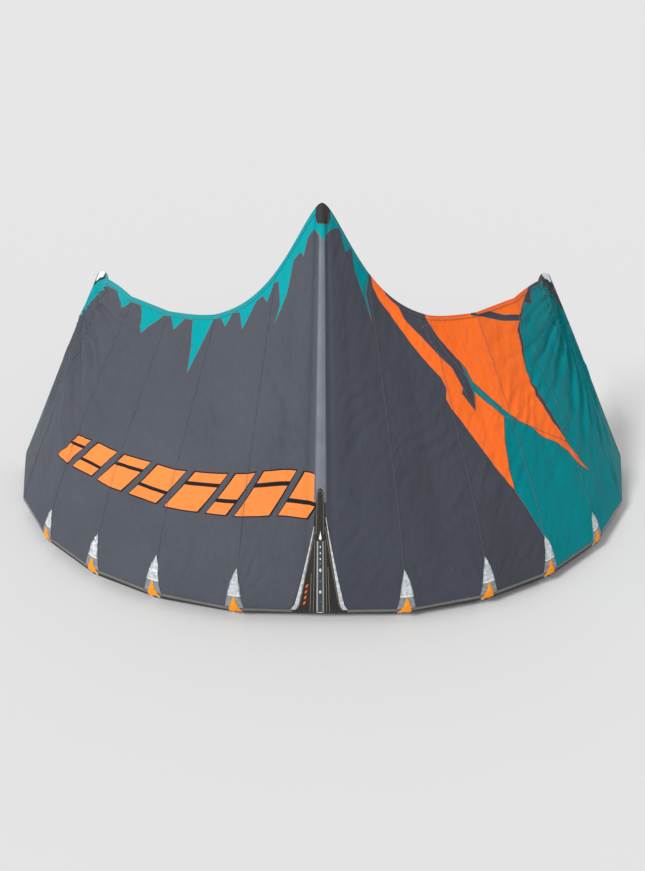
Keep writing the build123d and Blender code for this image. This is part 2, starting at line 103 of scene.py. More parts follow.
def make_floor():
    shape = bmesh.new()
    bmesh.ops.create_grid(shape, x_segments=1, y_segments=1, size=FLOOR_SIZE / 2)
    mesh = bpy.data.meshes.new("floor")
    shape.to_mesh(mesh)
    shape.free()
    floor = bpy.data.objects.new("floor", mesh)
    bpy.context.scene.collection.objects.link(floor)
    material, _, principled = shader("pale_floor", 0.9, 0.0)
    principled.inputs["Base Color"].default_value = (*[FLOOR_ALBEDO] * 3, 1)
    mesh.materials.append(material)


def make_lights():
    world = bpy.data.worlds.new("sky")
    world.use_nodes = True
    background = world.node_tree.nodes["Background"]
    background.inputs["Color"].default_value = (1, 1, 1, 1)
    background.inputs["Strength"].default_value = SKY_STRENGTH
    bpy.context.scene.world = world
    light = bpy.data.lights.new("sun", "SUN")
    light.energy = SUN_STRENGTH
    light.angle = SUN_SPREAD
    sun = bpy.data.objects.new("sun", light)
    sun.rotation_euler = SUN_FROM.to_track_quat("Z", "Y").to_euler()
    bpy.context.scene.collection.objects.link(sun)
    bpy.context.scene.view_settings.view_transform = "Standard"


make_floor()
make_lights()
print("studio ready")

# %% [markdown]
# The wing's shape is a handful of rules, the same that the CAD model follows: where the
# leading edge runs, how long each chord is and how it leans, and how the skin curves over
# the tube. A place is a span fraction u, 0 at the strut and 1 at the wingtip, and a height v
# up the skin: 0 where it leaves the tube, 1 at the trailing edge, and below 0 on the tube.
# The left half has the same v and a negative u.

# %% The wing's shape
SEGMENTS = (0.422, 0.428, 0.380, 0.400, 0.400, 0.462)
HALF_SPAN = sum(SEGMENTS)
SEAM_ARCS = [sum(SEGMENTS[:count]) for count in range(len(SEGMENTS) + 1)]
SEAMS = [arc / HALF_SPAN for arc in SEAM_ARCS]
FRONT_Y = -0.902
TIP_HEADING = math.radians(86)  # how far the leading edge has turned at the wingtip
BEND_POWER = 1.385
LEAN_BACK = math.radians(29.6)
LEAN_IN, LEAN_IN_POWER = math.radians(19.6), 2.2
CHORD_STRUT, CHORD_MID, CHORD_TIP = 1.980, 1.396, 1.231
TAPER_POWER = 8.8
PEAK_WIDTH, PEAK_POWER = 0.190, 1.82
LEAVE_ANGLES = (20, -3)  # each pair holds the values at the strut and at the wingtip
WRAP_TURNS = (18, 6)
ARRIVE_ANGLES = (9, 4)
FRONT_HANDLE, REAR_HANDLE = 0.30, 0.40
TUBE_CENTER, TUBE_TIP = 0.103, 0.054
CURVE_LENGTH = 1.15  # the skin curve from tube to trailing edge, as a share of the chord
WRAP_V = 0.05  # stretch of v from the skin's front edge to where it leaves the tube
TAPE_V = 0.03  # stretch of v below that, for the tape on the tube's front
TAPE_ANGLE = math.radians(14)
SKIN_LIFT = 0.005  # height of the skin's outer face above the bare tube


def mix(first, last, share):
    return first + (last - first) * share


def heading(u):
    return TIP_HEADING * abs(u) ** BEND_POWER


def segment_heading(index):
    return heading((SEAMS[index] + SEAMS[index + 1]) / 2) if index else 0.0


def seam_places():
    places = [Vector((0, FRONT_Y, 0))]
    for index, length in enumerate(SEGMENTS):
        turn = segment_heading(index)
        places.append(places[-1] + length * Vector((math.cos(turn), math.sin(turn), 0)))
    return places


SEAM_PLACES = seam_places()


def tube_radius(u):
    return mix(TUBE_CENTER, TUBE_TIP, u)


def tube_axis(u):
    arc = u * HALF_SPAN
    index = max(i for i in range(len(SEGMENTS)) if SEAM_ARCS[i] <= arc + 1e-9)
    share = (arc - SEAM_ARCS[index]) / SEGMENTS[index]
    place = SEAM_PLACES[index].lerp(SEAM_PLACES[index + 1], share)
    return Vector((place.x, place.y, tube_radius(u)))


def chord_length(u):
    plateau = CHORD_TIP + (CHORD_MID - CHORD_TIP) * (1 - u**TAPER_POWER)
    return plateau + (CHORD_STRUT - CHORD_MID) * math.exp(-((u / PEAK_WIDTH) ** PEAK_POWER))


def chord_direction(u):
    across = -math.sin(LEAN_IN * (1 - max(0.0, 1 - u) ** LEAN_IN_POWER))
    back = math.sin(LEAN_BACK)
    return Vector((across, back, math.sqrt(1 - across**2 - back**2)))


class Rib:
    """One rib of the right half: its axis, directions and the handles of its skin curve."""

    def __init__(self, u):
        self.origin = tube_axis(u)
        self.chord = chord_direction(u)
        along = Vector((math.cos(heading(u)), math.sin(heading(u)), 0))
        crossing = along.cross(self.chord)
        self.outward = crossing.normalized()
        self.radius = tube_radius(u)
        self.slant = crossing.length
        self.length = chord_length(u)
        self.leave = math.radians(mix(*LEAVE_ANGLES, u))
        self.front = self.leave + math.radians(mix(*WRAP_TURNS, u))
        self.arrive = math.radians(mix(*ARRIVE_ANGLES, u))

    def round_tube(self, angle, lift):
        """A place on the tube's front, angle before its crest."""
        along = -(self.radius / self.slant + lift) * math.sin(angle)
        across = (self.radius + lift) * math.cos(angle)
        return self.origin + self.chord * along + self.outward * across

    def skin(self, v, lift=SKIN_LIFT):
        if v < -WRAP_V:
            return self.round_tube(self.front + TAPE_ANGLE * (-v - WRAP_V) / TAPE_V, lift)
        if v < 0:
            return self.round_tube(mix(self.leave, self.front, -v / WRAP_V), lift)
        along, across = self.radius / self.slant + lift, self.radius + lift
        start = Vector((-along * math.sin(self.leave), across * math.cos(self.leave)))
        leaving = Vector((along * math.cos(self.leave), across * math.sin(self.leave))).normalized()
        end = Vector((self.length, lift))
        arriving = Vector((math.cos(self.arrive), -math.sin(self.arrive)))
        first = start + leaving * (FRONT_HANDLE * self.length)
        second = end - arriving * (REAR_HANDLE * self.length)
        w = 1 - v
        flat = start * w**3 + first * (3 * w * w * v) + second * (3 * w * v * v) + end * v**3
        return self.origin + self.chord * flat.x + self.outward * flat.y


ribs = {}


def rib(u):
    key = round(u, 5)
    if key not in ribs:
        ribs[key] = Rib(u)
    return ribs[key]


def wing_place(u, v, lift=SKIN_LIFT):
    """The place of u, v on the skin, with u negative on the left half."""
    place = rib(abs(u)).skin(v, lift)
    return Vector((-place.x, place.y, place.z)) if u < 0 else place


print("half span", round(HALF_SPAN, 3), "m, strut chord", round(chord_length(0), 3), "m")

# %% [markdown]
# Every finish is built from the same few parts: a slow change of tone, a fine pattern, and
# bumps. These helpers add them. Cloth reads its own UV map, which is in metres along the
# cloth, so the weave follows it. Moulded parts read Object coordinates.

# %% Parts of a finish
def srgb(red, green, blue):
    """Scene-linear colour of an 8-bit screen colour."""
    screen = (red, green, blue)
    return tuple(((c / 255 + 0.055) / 1.055) ** 2.4 if c > 10 else c / 3295 for c in screen)


def cloth_coordinates(tree):
    return tree.nodes.new("ShaderNodeUVMap").outputs["UV"]


def object_coordinates(tree):
    return tree.nodes.new("ShaderNodeTexCoord").outputs["Object"]


def math_node(tree, operation, *values):
    node = tree.nodes.new("ShaderNodeMath")
    node.operation = operation
    for socket, value in zip(node.inputs, values):
        if isinstance(value, (int, float)):
            socket.default_value = value
        else:
            tree.links.new(value, socket)
    return node.outputs["Value"]


def noise_node(tree, vector, scale, detail=4.0, stretch=None):
    if stretch:
        mapping = tree.nodes.new("ShaderNodeMapping")
        mapping.inputs["Scale"].default_value = stretch
        tree.links.new(vector, mapping.inputs["Vector"])
        vector = mapping.outputs["Vector"]
    node = tree.nodes.new("ShaderNodeTexNoise")
    node.inputs["Scale"].default_value = scale
    node.inputs["Detail"].default_value = detail
    tree.links.new(vector, node.inputs["Vector"])
    return node.outputs["Fac"]


def tone_node(tree, fac, colour, spread):
    """A colour that goes from spread darker to spread lighter as fac rises."""
    ramp = tree.nodes.new("ShaderNodeValToRGB")
    low, high = ramp.color_ramp.elements
    low.position, high.position = 0.3, 0.7
    low.color = (*[c * (1 - spread) for c in colour], 1)
    high.color = (*[min(1, c * (1 + spread)) for c in colour], 1)
    tree.links.new(fac, ramp.inputs["Fac"])
    return ramp.outputs["Color"]


def thread_lines(tree, vector, axis, pitch, width):
    """1 on the threads of a set of parallel lines, 0 between them."""
    separate = tree.nodes.new("ShaderNodeSeparateXYZ")
    tree.links.new(vector, separate.inputs["Vector"])
    wave = math_node(tree, "PINGPONG", separate.outputs[axis], pitch / 2)
    return math_node(tree, "LESS_THAN", wave, width / 2)


def bump_layers(tree, principled, layers):
    """A chain of bumps; a layer is its height, strength and depth in metres."""
    normal = None
    for height, strength, depth in layers:
        bump = tree.nodes.new("ShaderNodeBump")
        bump.inputs["Strength"].default_value = strength
        bump.inputs["Distance"].default_value = depth
        tree.links.new(height, bump.inputs["Height"])
        if normal:
            tree.links.new(normal, bump.inputs["Normal"])
        normal = bump.outputs["Normal"]
    tree.links.new(normal, principled.inputs["Normal"])


print("finish helpers ready")

# %% [markdown]
# Canopy cloth is a thin ripstop: a fine plain weave with a thicker thread every 6 mm, a
# matt coating, and a crinkle left by packing. Sailcloth on the tubes is a
# heavier plain weave with a duller face. Both get a little darker and lighter over a panel.

# %% Cloth finishes
RIPSTOP_PITCH, RIPSTOP_THREAD = 0.006, 0.0009
SAILCLOTH_PITCH = 0.0016
STITCH = 0.006


def canopy_cloth(name, colour):
    material, tree, principled = shader(name, 0.5, 0.04)
    cloth = cloth_coordinates(tree)
    broad = noise_node(tree, cloth, 2.4, 3.0)
    rubbed = noise_node(tree, cloth, 60.0, 5.0, stretch=(1.0, 0.35, 1.0))
    broad_part = math_node(tree, "MULTIPLY", broad, 0.6)
    rubbed_part = math_node(tree, "MULTIPLY", rubbed, 0.4)
    tone = math_node(tree, "ADD", broad_part, rubbed_part)
    tree.links.new(tone_node(tree, tone, colour, 0.10), principled.inputs["Base Color"])
    crinkle = noise_node(tree, cloth, 26.0, 7.0, stretch=(1.0, 0.7, 1.0))
    warp = thread_lines(tree, cloth, "X", RIPSTOP_PITCH, RIPSTOP_THREAD)
    weft = thread_lines(tree, cloth, "Y", RIPSTOP_PITCH, RIPSTOP_THREAD)
    threads = math_node(tree, "MAXIMUM", warp, weft)
    bump_layers(tree, principled, [(crinkle, 0.45, 0.010), (threads, 0.4, 0.0003)])
    return material


def sailcloth(name, colour, roughness=0.6, spread=0.12):
    material, tree, principled = shader(name, roughness, 0.35)
    cloth = cloth_coordinates(tree)
    tone = tone_node(tree, noise_node(tree, cloth, 9.0, 5.0), colour, spread)
    tree.links.new(tone, principled.inputs["Base Color"])
    warp = thread_lines(tree, cloth, "X", SAILCLOTH_PITCH, SAILCLOTH_PITCH / 2)
    weft = thread_lines(tree, cloth, "Y", SAILCLOTH_PITCH, SAILCLOTH_PITCH / 2)
    weave = math_node(tree, "ADD", warp, weft)
    crease = noise_node(tree, cloth, 30.0, 5.0)
    bump_layers(tree, principled, [(crease, 0.4, 0.004), (weave, 0.3, 0.0003)])
    return material


def reflective(name, colour):
    """Crumpled silver film: a metal-like face whose small facets catch the light."""
    material, tree, principled = shader(name, 0.38)
    cloth = cloth_coordinates(tree)
    facets = tree.nodes.new("ShaderNodeTexVoronoi")
    facets.inputs["Scale"].default_value = 70.0
    tree.links.new(cloth, facets.inputs["Vector"])
    tone = tone_node(tree, noise_node(tree, cloth, 45.0, 6.0), colour, 0.30)
    tree.links.new(tone, principled.inputs["Base Color"])
    bump_layers(tree, principled, [(facets.outputs["Distance"], 0.5, 0.006)])
    principled.inputs["Metallic"].default_value = 0.25
    return material


def stitching(name, colour):
    """Thread that dips into the cloth once every stitch along the seam."""
    material, tree, principled = shader(name, 0.7)
    gaps = thread_lines(tree, cloth_coordinates(tree), "X", STITCH, STITCH * 0.3)
    # The thread is painted darker in each dip and lighter between the dips, as painted shade and
    # light on top of the bump.
    tone = tone_node(tree, math_node(tree, "SUBTRACT", 1.0, gaps), colour, 0.35)
    tree.links.new(tone, principled.inputs["Base Color"])
    bump_layers(tree, principled, [(gaps, -0.8, 0.0006)])
    return material


# The two greys are one canopy cloth: the left copy is painted lighter, as painted light from the
# front left, and the right copy darker, as painted shade.
GREY_LIT_LEFT = canopy_cloth("canopy_grey_left_painted_light", srgb(80, 83, 91))
GREY_SHADED_RIGHT = canopy_cloth("canopy_grey_right_painted_shade", srgb(69, 72, 80))
# The two teals are also one cloth, painted lighter on the left as painted light and darker on the
# right as painted shade.
TEAL_LIT_LEFT = canopy_cloth("canopy_teal_left_painted_light", srgb(3, 154, 160))
TEAL_SHADED_RIGHT = canopy_cloth("canopy_teal_right_painted_shade", srgb(3, 127, 134))
ORANGE = canopy_cloth("canopy_orange", srgb(253, 112, 44))
INK = canopy_cloth("canopy_ink", srgb(34, 36, 40))
PALE_ORANGE = canopy_cloth("canopy_pale_orange", srgb(250, 138, 70))
TOOTH_ORANGE = canopy_cloth("flash_orange", srgb(255, 152, 38))
BLACK_SAILCLOTH = sailcloth("black_sailcloth", srgb(36, 35, 35))
TUBE_SAILCLOTH = sailcloth("tube_sailcloth", srgb(40, 40, 42))
TAPE_GREY = sailcloth("seam_tape_grey", srgb(112, 112, 110), 0.5)
CORNER_WHITE = sailcloth("corner_white", srgb(236, 237, 238), 0.55, 0.03)
HEM_GREY = sailcloth("hem_grey", srgb(70, 72, 76))
# SILVER_SHADE is the same silver film painted darker, as painted shade where the film turns away
# from the light.
SILVER = reflective("silver_film", srgb(196, 202, 205))
SILVER_SHADE = reflective("silver_film_shaded", srgb(138, 142, 144))
GAUGE_RAIL = sailcloth("gauge_rail", srgb(150, 156, 160), 0.4)
GAUGE_FIELD = sailcloth("gauge_field", srgb(58, 62, 66), 0.35)
# This white serves printed marks, and also the painted highlight strip on the teeth.
WHITE_INK_AND_HIGHLIGHT = sailcloth("white_ink_and_painted_highlight", srgb(236, 236, 232), 0.5, 0.04)
SEAM_BROWN = stitching("seam_thread_brown", srgb(108, 82, 84))
SEAM_TAN = stitching("seam_thread_tan", srgb(128, 114, 92))
SEAM_GREY = stitching("seam_thread_grey", srgb(88, 92, 100))
SEAM_BLACK = stitching("seam_thread_black", srgb(22, 22, 24))
print("cloth finishes ready")

# %% [markdown]
# A print or an insert is an outline in u and v. A grid of cloth is laid flat, cut along the
# outline with bisect planes, and only then bent onto the wing. So every edge of colour is a
# real edge in the mesh, as crisp as a sewn insert, and the cloth stays one sheet.

# %% Cutting and bending cloth
def inside(point, outline):
    """Whether a flat point is in a closed outline, by counting crossings."""
    x, y = point.x, point.y
    crossings = False
    for (x1, y1), (x2, y2) in zip(outline, outline[1:] + outline[:1]):
        if (y1 > y) != (y2 > y) and x < x1 + (y - y1) / (y2 - y1) * (x2 - x1):
            crossings = not crossings
    return crossings


def cut_along(cloth, outline, cell):
    """Cuts the flat cloth's faces where the outline crosses them; cell is a face's size."""
    for start, end in zip(outline, outline[1:] + outline[:1]):
        low_x, high_x = min(start[0], end[0]) - cell[0], max(start[0], end[0]) + cell[0]
        low_y, high_y = min(start[1], end[1]) - cell[1], max(start[1], end[1]) + cell[1]
        geometry = set()
        for face in cloth.faces:
            corner = face.verts[0].co
            if low_x <= corner.x <= high_x and low_y <= corner.y <= high_y:
                geometry.add(face)
                geometry.update(face.edges)
                geometry.update(face.verts)
        normal = Vector((end[1] - start[1], start[0] - end[0], 0))
        bmesh.ops.bisect_plane(
            cloth, geom=list(geometry), dist=1e-6, plane_co=(*start, 0), plane_no=normal
        )


def flat_cloth(low, high, cell):
    """A flat grid from corner low to corner high, in u and v, with faces of about cell."""
    cloth = bmesh.new()
    size = (high[0] - low[0], high[1] - low[1])
    cells = [max(1, math.ceil(length / step)) for length, step in zip(size, cell)]
    bmesh.ops.create_grid(cloth, x_segments=cells[0], y_segments=cells[1], size=0.5)
    bmesh.ops.scale(cloth, vec=(*size, 1), verts=cloth.verts)
    middle = ((high[0] + low[0]) / 2, (high[1] + low[1]) / 2, 0)
    bmesh.ops.translate(cloth, vec=middle, verts=cloth.verts)
    return cloth


def bend_onto_wing(cloth, lift):
    """Writes the UV map in metres, then moves each point to the wing; lift(u, v) is its height."""
    layer = cloth.loops.layers.uv.new("cloth")
    for face in cloth.faces:
        for loop in face.loops:
            u, v = loop.vert.co.x, loop.vert.co.y
            loop[layer].uv = (u * HALF_SPAN, v * chord_length(abs(u)))
    for vert in cloth.verts:
        u, v = vert.co.x, vert.co.y
        vert.co = wing_place(u, v, lift(u, v))


def new_piece(name, shape, materials, wall=0.0, slot=None, replaces=(), body=BODY):
    """A piece from a finished bmesh, riding on its body, smooth, with a wall inwards."""
    mesh = bpy.data.meshes.new(name)
    shape.to_mesh(mesh)
    shape.free()
    for material in materials:
        mesh.materials.append(material)
    for polygon in mesh.polygons:
        polygon.use_smooth = True
    piece = bpy.data.objects.new(name, mesh)
    bpy.context.scene.collection.objects.link(piece)
    if wall:
        thick = piece.modifiers.new("wall", "SOLIDIFY")
        thick.thickness = wall
        thick.offset = -1.0
    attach(piece, body)
    if replaces:
        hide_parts(*replaces)
    print(name, len(piece.data.polygons), "faces")
    return piece


def paint(cloth, shapes, finishes, ground):
    """Gives each face the finish of the last outline it is in, or ground, or deletes it."""
    spare = []
    for face in cloth.faces:
        middle = face.calc_center_median()
        finish = ground
        for outline, material in shapes:
            if inside(middle, outline):
                finish = material
        if finish is None:
            spare.append(face)
        else:
            face.material_index = finishes.index(finish)
    bmesh.ops.delete(cloth, geom=spare, context="FACES")


def finish_list(shapes, ground):
    finishes = [ground] if ground else []
    for _, material in shapes:
        if material not in finishes:
            finishes.append(material)
    return finishes


def cut_cloth(low, high, cell, shapes, ground, lift):
    """Cloth on the wing between two corners of u and v, with shapes cut into it."""
    cell = (cell / HALF_SPAN, cell / chord_length(abs(low[0] + high[0]) / 2))
    cloth = flat_cloth(low, high, cell)
    for outline, _ in shapes:
        cut_along(cloth, outline, cell)
    paint(cloth, shapes, finish_list(shapes, ground), ground)
    bend_onto_wing(cloth, lift)
    return cloth


def wing_piece(name, low, high, cell, shapes, ground, lift, wall, **facts):
    cloth = cut_cloth(low, high, cell, shapes, ground, lift)
    return new_piece(name, cloth, finish_list(shapes, ground), wall, **facts)


def join_pieces(shapes):
    """One bmesh from several, which are freed."""
    whole = bmesh.new()
    for shape in shapes:
        mesh = bpy.data.meshes.new("part")
        shape.to_mesh(mesh)
        shape.free()
        whole.from_mesh(mesh)
        bpy.data.meshes.remove(mesh)
    return whole


def signed(outline, side):
    """An outline given for the right half, on either half."""
    return [(side * u, v) for u, v in outline]


LABELS = {-1: "left", 1: "right"}
print("cutting helpers ready")

# %% [markdown]
# The outlines of the coloured inserts, as (u, v) corners. Splinters of teal hang from the
# trailing edge on both sides; the right half also has two long orange blades, a broad teal
# wingtip and dark slivers between them.

# %% Outlines of the inserts
OVER = 1.01  # beyond the trailing edge, so that an insert reaches it
LEFT_TEAL = [
    (1.01, OVER), (1.01, 0.72), (0.96, 0.812), (0.905, 0.872), (0.86, 0.930), (0.812, 0.970),
    (0.80, 0.980), (0.788, 0.978), (0.738, 0.982), (0.697, 0.940), (0.645, 0.982), (0.607, 0.982),
    (0.568, 0.896), (0.508, 0.981), (0.482, 0.985), (0.459, 0.942), (0.436, 0.983),
    (0.410, 0.981), (0.391, 0.897), (0.379, 0.804), (0.355, 0.926), (0.343, 0.985),
    (0.322, 0.982), (0.302, 0.948), (0.289, 0.984), (0.267, 0.975), (0.249, 0.911),
    (0.227, 0.960), (0.219, 0.974), (0.201, 0.969), (0.184, 0.935), (0.169, 0.970),
    (0.154, 0.957), (0.140, 0.879), (0.152, 0.835), (0.119, 0.886), (0.108, 0.953),
    (0.083, 0.944), (0.072, 0.922), (0.059, 0.952), (0.036, 0.955), (-0.01, 0.905), (-0.01, OVER),
]
RIGHT_TEAL_SPLINTERS = [
    [(-0.01, OVER), (-0.01, 0.905), (0.038, 0.955), (0.076, 0.991), (0.094, 0.956),
     (0.115, 0.992), (0.119, OVER)],
    [(0.115, OVER), (0.123, 0.942), (0.145, 0.906), (0.162, 0.858), (0.153, 0.926),
     (0.168, 0.986), (0.171, OVER)],
]
RIGHT_TEAL_WING = [
    (0.446, 0.354), (0.494, 0.124), (0.510, -0.06), (1.02, -0.06), (1.02, OVER), (0.755, OVER),
    (0.692, 0.970), (0.640, 0.919), (0.595, 0.749), (0.645, 0.430), (0.510, 0.603),
    (0.475, 0.632), (0.455, 0.545), (0.448, 0.459),
]
ORANGE_BLADE = [
    (0.177, OVER), (0.179, 0.972), (0.194, 0.953), (0.222, 0.940), (0.255, 0.905),
    (0.282, 0.868), (0.331, 0.797), (0.339, 0.763), (0.331, 0.725), (0.338, 0.695),
    (0.355, 0.652), (0.379, 0.575), (0.420, 0.439), (0.446, 0.354), (0.448, 0.459),
    (0.455, 0.545), (0.475, 0.632), (0.433, 0.733), (0.343, 0.934), (0.240, OVER),
]
DARK_SLIVER = [
    (0.208, OVER), (0.219, 0.992), (0.255, 0.984), (0.264, 0.958), (0.304, 0.923),
    (0.332, 0.887), (0.373, 0.825), (0.387, 0.758), (0.379, 0.740), (0.403, 0.673),
    (0.413, 0.732), (0.400, 0.846), (0.352, 0.935), (0.333, 0.970), (0.330, OVER),
]
TEAL_SLIVER = [
    (0.269, OVER), (0.312, 0.951), (0.333, 0.970), (0.352, 0.935), (0.384, 0.858),
    (0.400, 0.846), (0.411, 0.821), (0.420, 0.773), (0.440, 0.736), (0.479, 0.659),
    (0.512, 0.603), (0.475, 0.632), (0.417, 0.739), (0.403, 0.673), (0.387, 0.758),
    (0.373, 0.825), (0.332, 0.904), (0.311, 0.979), (0.304, OVER),
]
ORANGE_FIELD = [
    (0.332, OVER), (0.330, 0.993), (0.352, 0.935), (0.384, 0.858), (0.400, 0.846),
    (0.420, 0.773), (0.440, 0.736), (0.479, 0.659), (0.510, 0.600), (0.546, 0.554),
    (0.571, 0.499), (0.606, 0.455), (0.641, 0.390), (0.650, 0.346), (0.698, 0.251),
    (0.657, 0.378), (0.646, 0.436), (0.617, 0.536), (0.611, 0.580), (0.599, 0.649),
    (0.596, 0.749), (0.607, 0.827), (0.623, 0.893), (0.649, 0.943), (0.692, 0.970),
    (0.738, 0.992), (0.766, OVER),
]
DARK_DASH = [
    (0.481, OVER), (0.499, 0.992), (0.544, 0.989), (0.597, 0.957), (0.646, 0.940),
    (0.639, 0.921), (0.584, 0.941), (0.517, 0.978), (0.476, 0.993),
]
DARK_TIP = [
    (0.766, OVER), (0.738, 0.992), (0.693, 0.970), (0.725, 0.944), (0.750, 0.986),
    (0.762, 0.991), (0.849, 0.988), (0.868, 0.975), (0.900, 0.935), (0.935, 0.895),
    (0.975, 0.845), (1.02, 0.790), (1.02, OVER),
]
print(len(LEFT_TEAL), "corners in the left teal insert")

# %% [markdown]
# The left half carries a bold graphic over its lower third. This one is a row of plain
# slanted bars, each cut by one stroke, pale orange on a dark ground that shows as an edge.
# The row climbs from the strut and levels out towards the wingtip.

# %% Slanted bars
BAR_EDGE = 0.008  # width of the dark edge, in metres
BAR_STARTS = (0.030, 0.112, 0.206, 0.270, 0.368, 0.462, 0.560, 0.652)  # in u, nearest the strut
BAR_WIDTHS = (0.062, 0.074, 0.044, 0.076, 0.072, 0.074, 0.068, 0.050)
BAR_SLANT = 0.055
ROW_START, ROW_CLIMB, ROW_SAG = 0.248, 0.40, 0.44
ROW_HEIGHT, ROW_SWELL = 0.118, 0.02
CUT_LOW, CUT_STEP, CUT_WIDTH = 0.30, 0.36, 0.10  # the stroke, as shares of a bar's height


def row_foot(u):
    """Lower edge of the row of bars, as v."""
    return ROW_START + ROW_CLIMB * u - ROW_SAG * u * u


def row_head(u):
    return row_foot(u) + ROW_HEIGHT + ROW_SWELL * math.sin(math.pi * min(1.0, u / 0.7))


def bar_outline(index, margin, low=0.0, high=1.0):
    """Part of one bar as (u, v) corners, from share low to high of its height."""
    start, width = BAR_STARTS[index], BAR_WIDTHS[index]
    across = margin / HALF_SPAN
    up = margin / (CURVE_LENGTH * chord_length(start))
    corners = []
    for end, share, sink in ((0, low, -up), (1, low, -up), (1, high, up), (0, high, up)):
        u = start + width * end + (2 * end - 1) * across - BAR_SLANT * share
        corners.append((u, mix(row_foot(u), row_head(u), share) + sink))
    return corners


LEFT_INSERTS = [(LEFT_TEAL, TEAL_LIT_LEFT)]
for index in range(len(BAR_STARTS)):
    cut = CUT_LOW + CUT_STEP * (index % 2)
    LEFT_INSERTS.append((bar_outline(index, BAR_EDGE), INK))
    LEFT_INSERTS.append((bar_outline(index, 0.0, 0.0, cut), PALE_ORANGE))
    LEFT_INSERTS.append((bar_outline(index, 0.0, cut + CUT_WIDTH, 1.0), PALE_ORANGE))
RIGHT_INSERTS = [(outline, TEAL_SHADED_RIGHT) for outline in RIGHT_TEAL_SPLINTERS]
RIGHT_INSERTS += [
    (RIGHT_TEAL_WING, TEAL_SHADED_RIGHT),
    (ORANGE_FIELD, ORANGE),
    (ORANGE_BLADE, ORANGE),
    (TEAL_SLIVER, TEAL_SHADED_RIGHT),
    (DARK_SLIVER, GREY_SHADED_RIGHT),
    (DARK_DASH, GREY_SHADED_RIGHT),
    (DARK_TIP, GREY_SHADED_RIGHT),
]
INSERTS = {
    -1: [(signed(outline, -1), material) for outline, material in LEFT_INSERTS],
    1: RIGHT_INSERTS,
}
# The ground is the painted-light grey on the left and the painted-shade grey on the right.
GROUNDS = {-1: GREY_LIT_LEFT, 1: GREY_SHADED_RIGHT}
print(len(LEFT_INSERTS), "inserts left,", len(RIGHT_INSERTS), "right")

# %% [markdown]
# Cloth under tension wrinkles where the load gathers. Folds fan out from each wingtip's
# upper corner and curve down into the canopy, short creases run up from the seams at the
# leading edge, and the middle has a shallow crinkle that leans away from the strut. Each is
# a height along the skin's normal, and they fade at the edges, where tape holds the cloth.

# %% Wrinkles
FAN_HEIGHT, FAN_REACH = 0.034, 0.95  # all of these are in metres
CRINKLE_HEIGHT = 0.0075
PULL_HEIGHT, PULL_REACH, PULL_HALF = 0.0075, 0.32, 0.16
BULGE_HEIGHT, BULGE_WIDTH = 0.006, 0.2
CROWN_HEIGHT, CROWN_HALF = 0.0015, 0.036
VALLEY_DEPTH, VALLEY_PLACE, VALLEY_WIDTH = 0.006, 0.062, 0.020


def ridge(value):
    """A narrow crest with a wide hollow, from noise between -1 and 1."""
    return 0.4 - 2.2 * abs(value)


def wrinkle(u, v):
    """Height of the cloth's wrinkles at a place, in metres."""
    side = 40.0 if u < 0 else 0.0
    span, height = abs(u) * HALF_SPAN, v * CURVE_LENGTH * chord_length(abs(u))
    wander = noise.noise(Vector((span * 1.3, height * 1.3, side)))
    detail = noise.noise(Vector((span * 4.1, height * 4.1, side + 5)))

    out, down = HALF_SPAN - span, CURVE_LENGTH * chord_length(1) - height
    reach = math.hypot(out, down)
    turn = math.atan2(out, down + 0.02)
    fan = ridge(noise.noise(Vector((turn * 7.5 + wander * 0.9, reach * 0.9, side + 11))))
    fan += 0.5 * ridge(noise.noise(Vector((turn * 17 + detail, reach * 1.6, side + 17))))
    fan_size = FAN_HEIGHT * min(1.0, reach / 0.25) * math.exp(-((reach / FAN_REACH) ** 2))

    lean = span + 0.55 * height
    across = span - 0.8 * height
    crinkle = ridge(noise.noise(Vector((lean * 3.2, across * 9.5 + wander * 2, side + 23))))
    crinkle += 0.5 * ridge(noise.noise(Vector((lean * 9 + wander, across * 19, side + 29))))
    patch = 0.45 + 0.55 * noise.noise(Vector((span * 1.5, height * 1.5, side + 31)))

    seam_gap = min(abs(abs(u) - seam) for seam in SEAMS) * HALF_SPAN
    spread = math.atan2(seam_gap, height + 0.05)
    pull = ridge(noise.noise(Vector((spread * 9, height * 2, side + 37 + 9 * abs(u)))))
    pull_size = PULL_HEIGHT * math.exp(-((height / PULL_REACH) ** 2))
    pull_size *= math.exp(-((seam_gap / PULL_HALF) ** 2))

    bulge = BULGE_HEIGHT * math.sin(math.pi * min(1.0, seam_gap / BULGE_WIDTH))
    bulge *= math.sin(math.pi * min(1.0, max(0.0, v)))
    edge = min(1.0, max(0.0, v) / 0.10) * min(1.0, max(0.0, 1.0 - v) / 0.06)
    edge *= min(1.0, max(0.0, abs(u) - 0.014) / 0.05) * min(1.0, max(0.0, 1 - abs(u)) / 0.03)
    return edge * (fan * fan_size + crinkle * CRINKLE_HEIGHT * patch + pull * pull_size + bulge)


def strut_swell(u, v):
    """The strut pushes the cloth up in a low crown, with a valley beside each edge."""
    across = abs(u) * HALF_SPAN
    crown = CROWN_HEIGHT * math.cos(min(1.0, across / CROWN_HALF) * math.pi / 2)
    valley = -VALLEY_DEPTH * math.exp(-(((across - VALLEY_PLACE) / VALLEY_WIDTH) ** 2))
    return (crown + valley) * min(1.0, max(0.0, v) / 0.1) * min(1.0, max(0.0, 1 - v) / 0.03)


def cloth_height(u, v):
    return SKIN_LIFT + wrinkle(u, v) + strut_swell(u, v)


def above_cloth(step):
    """Height for a piece that lies step metres above the canopy cloth."""
    return lambda u, v: cloth_height(u, v) + step


# %% Canopy halves
CLOTH_WALL = 0.0012
CANOPY_CELL = 0.0105


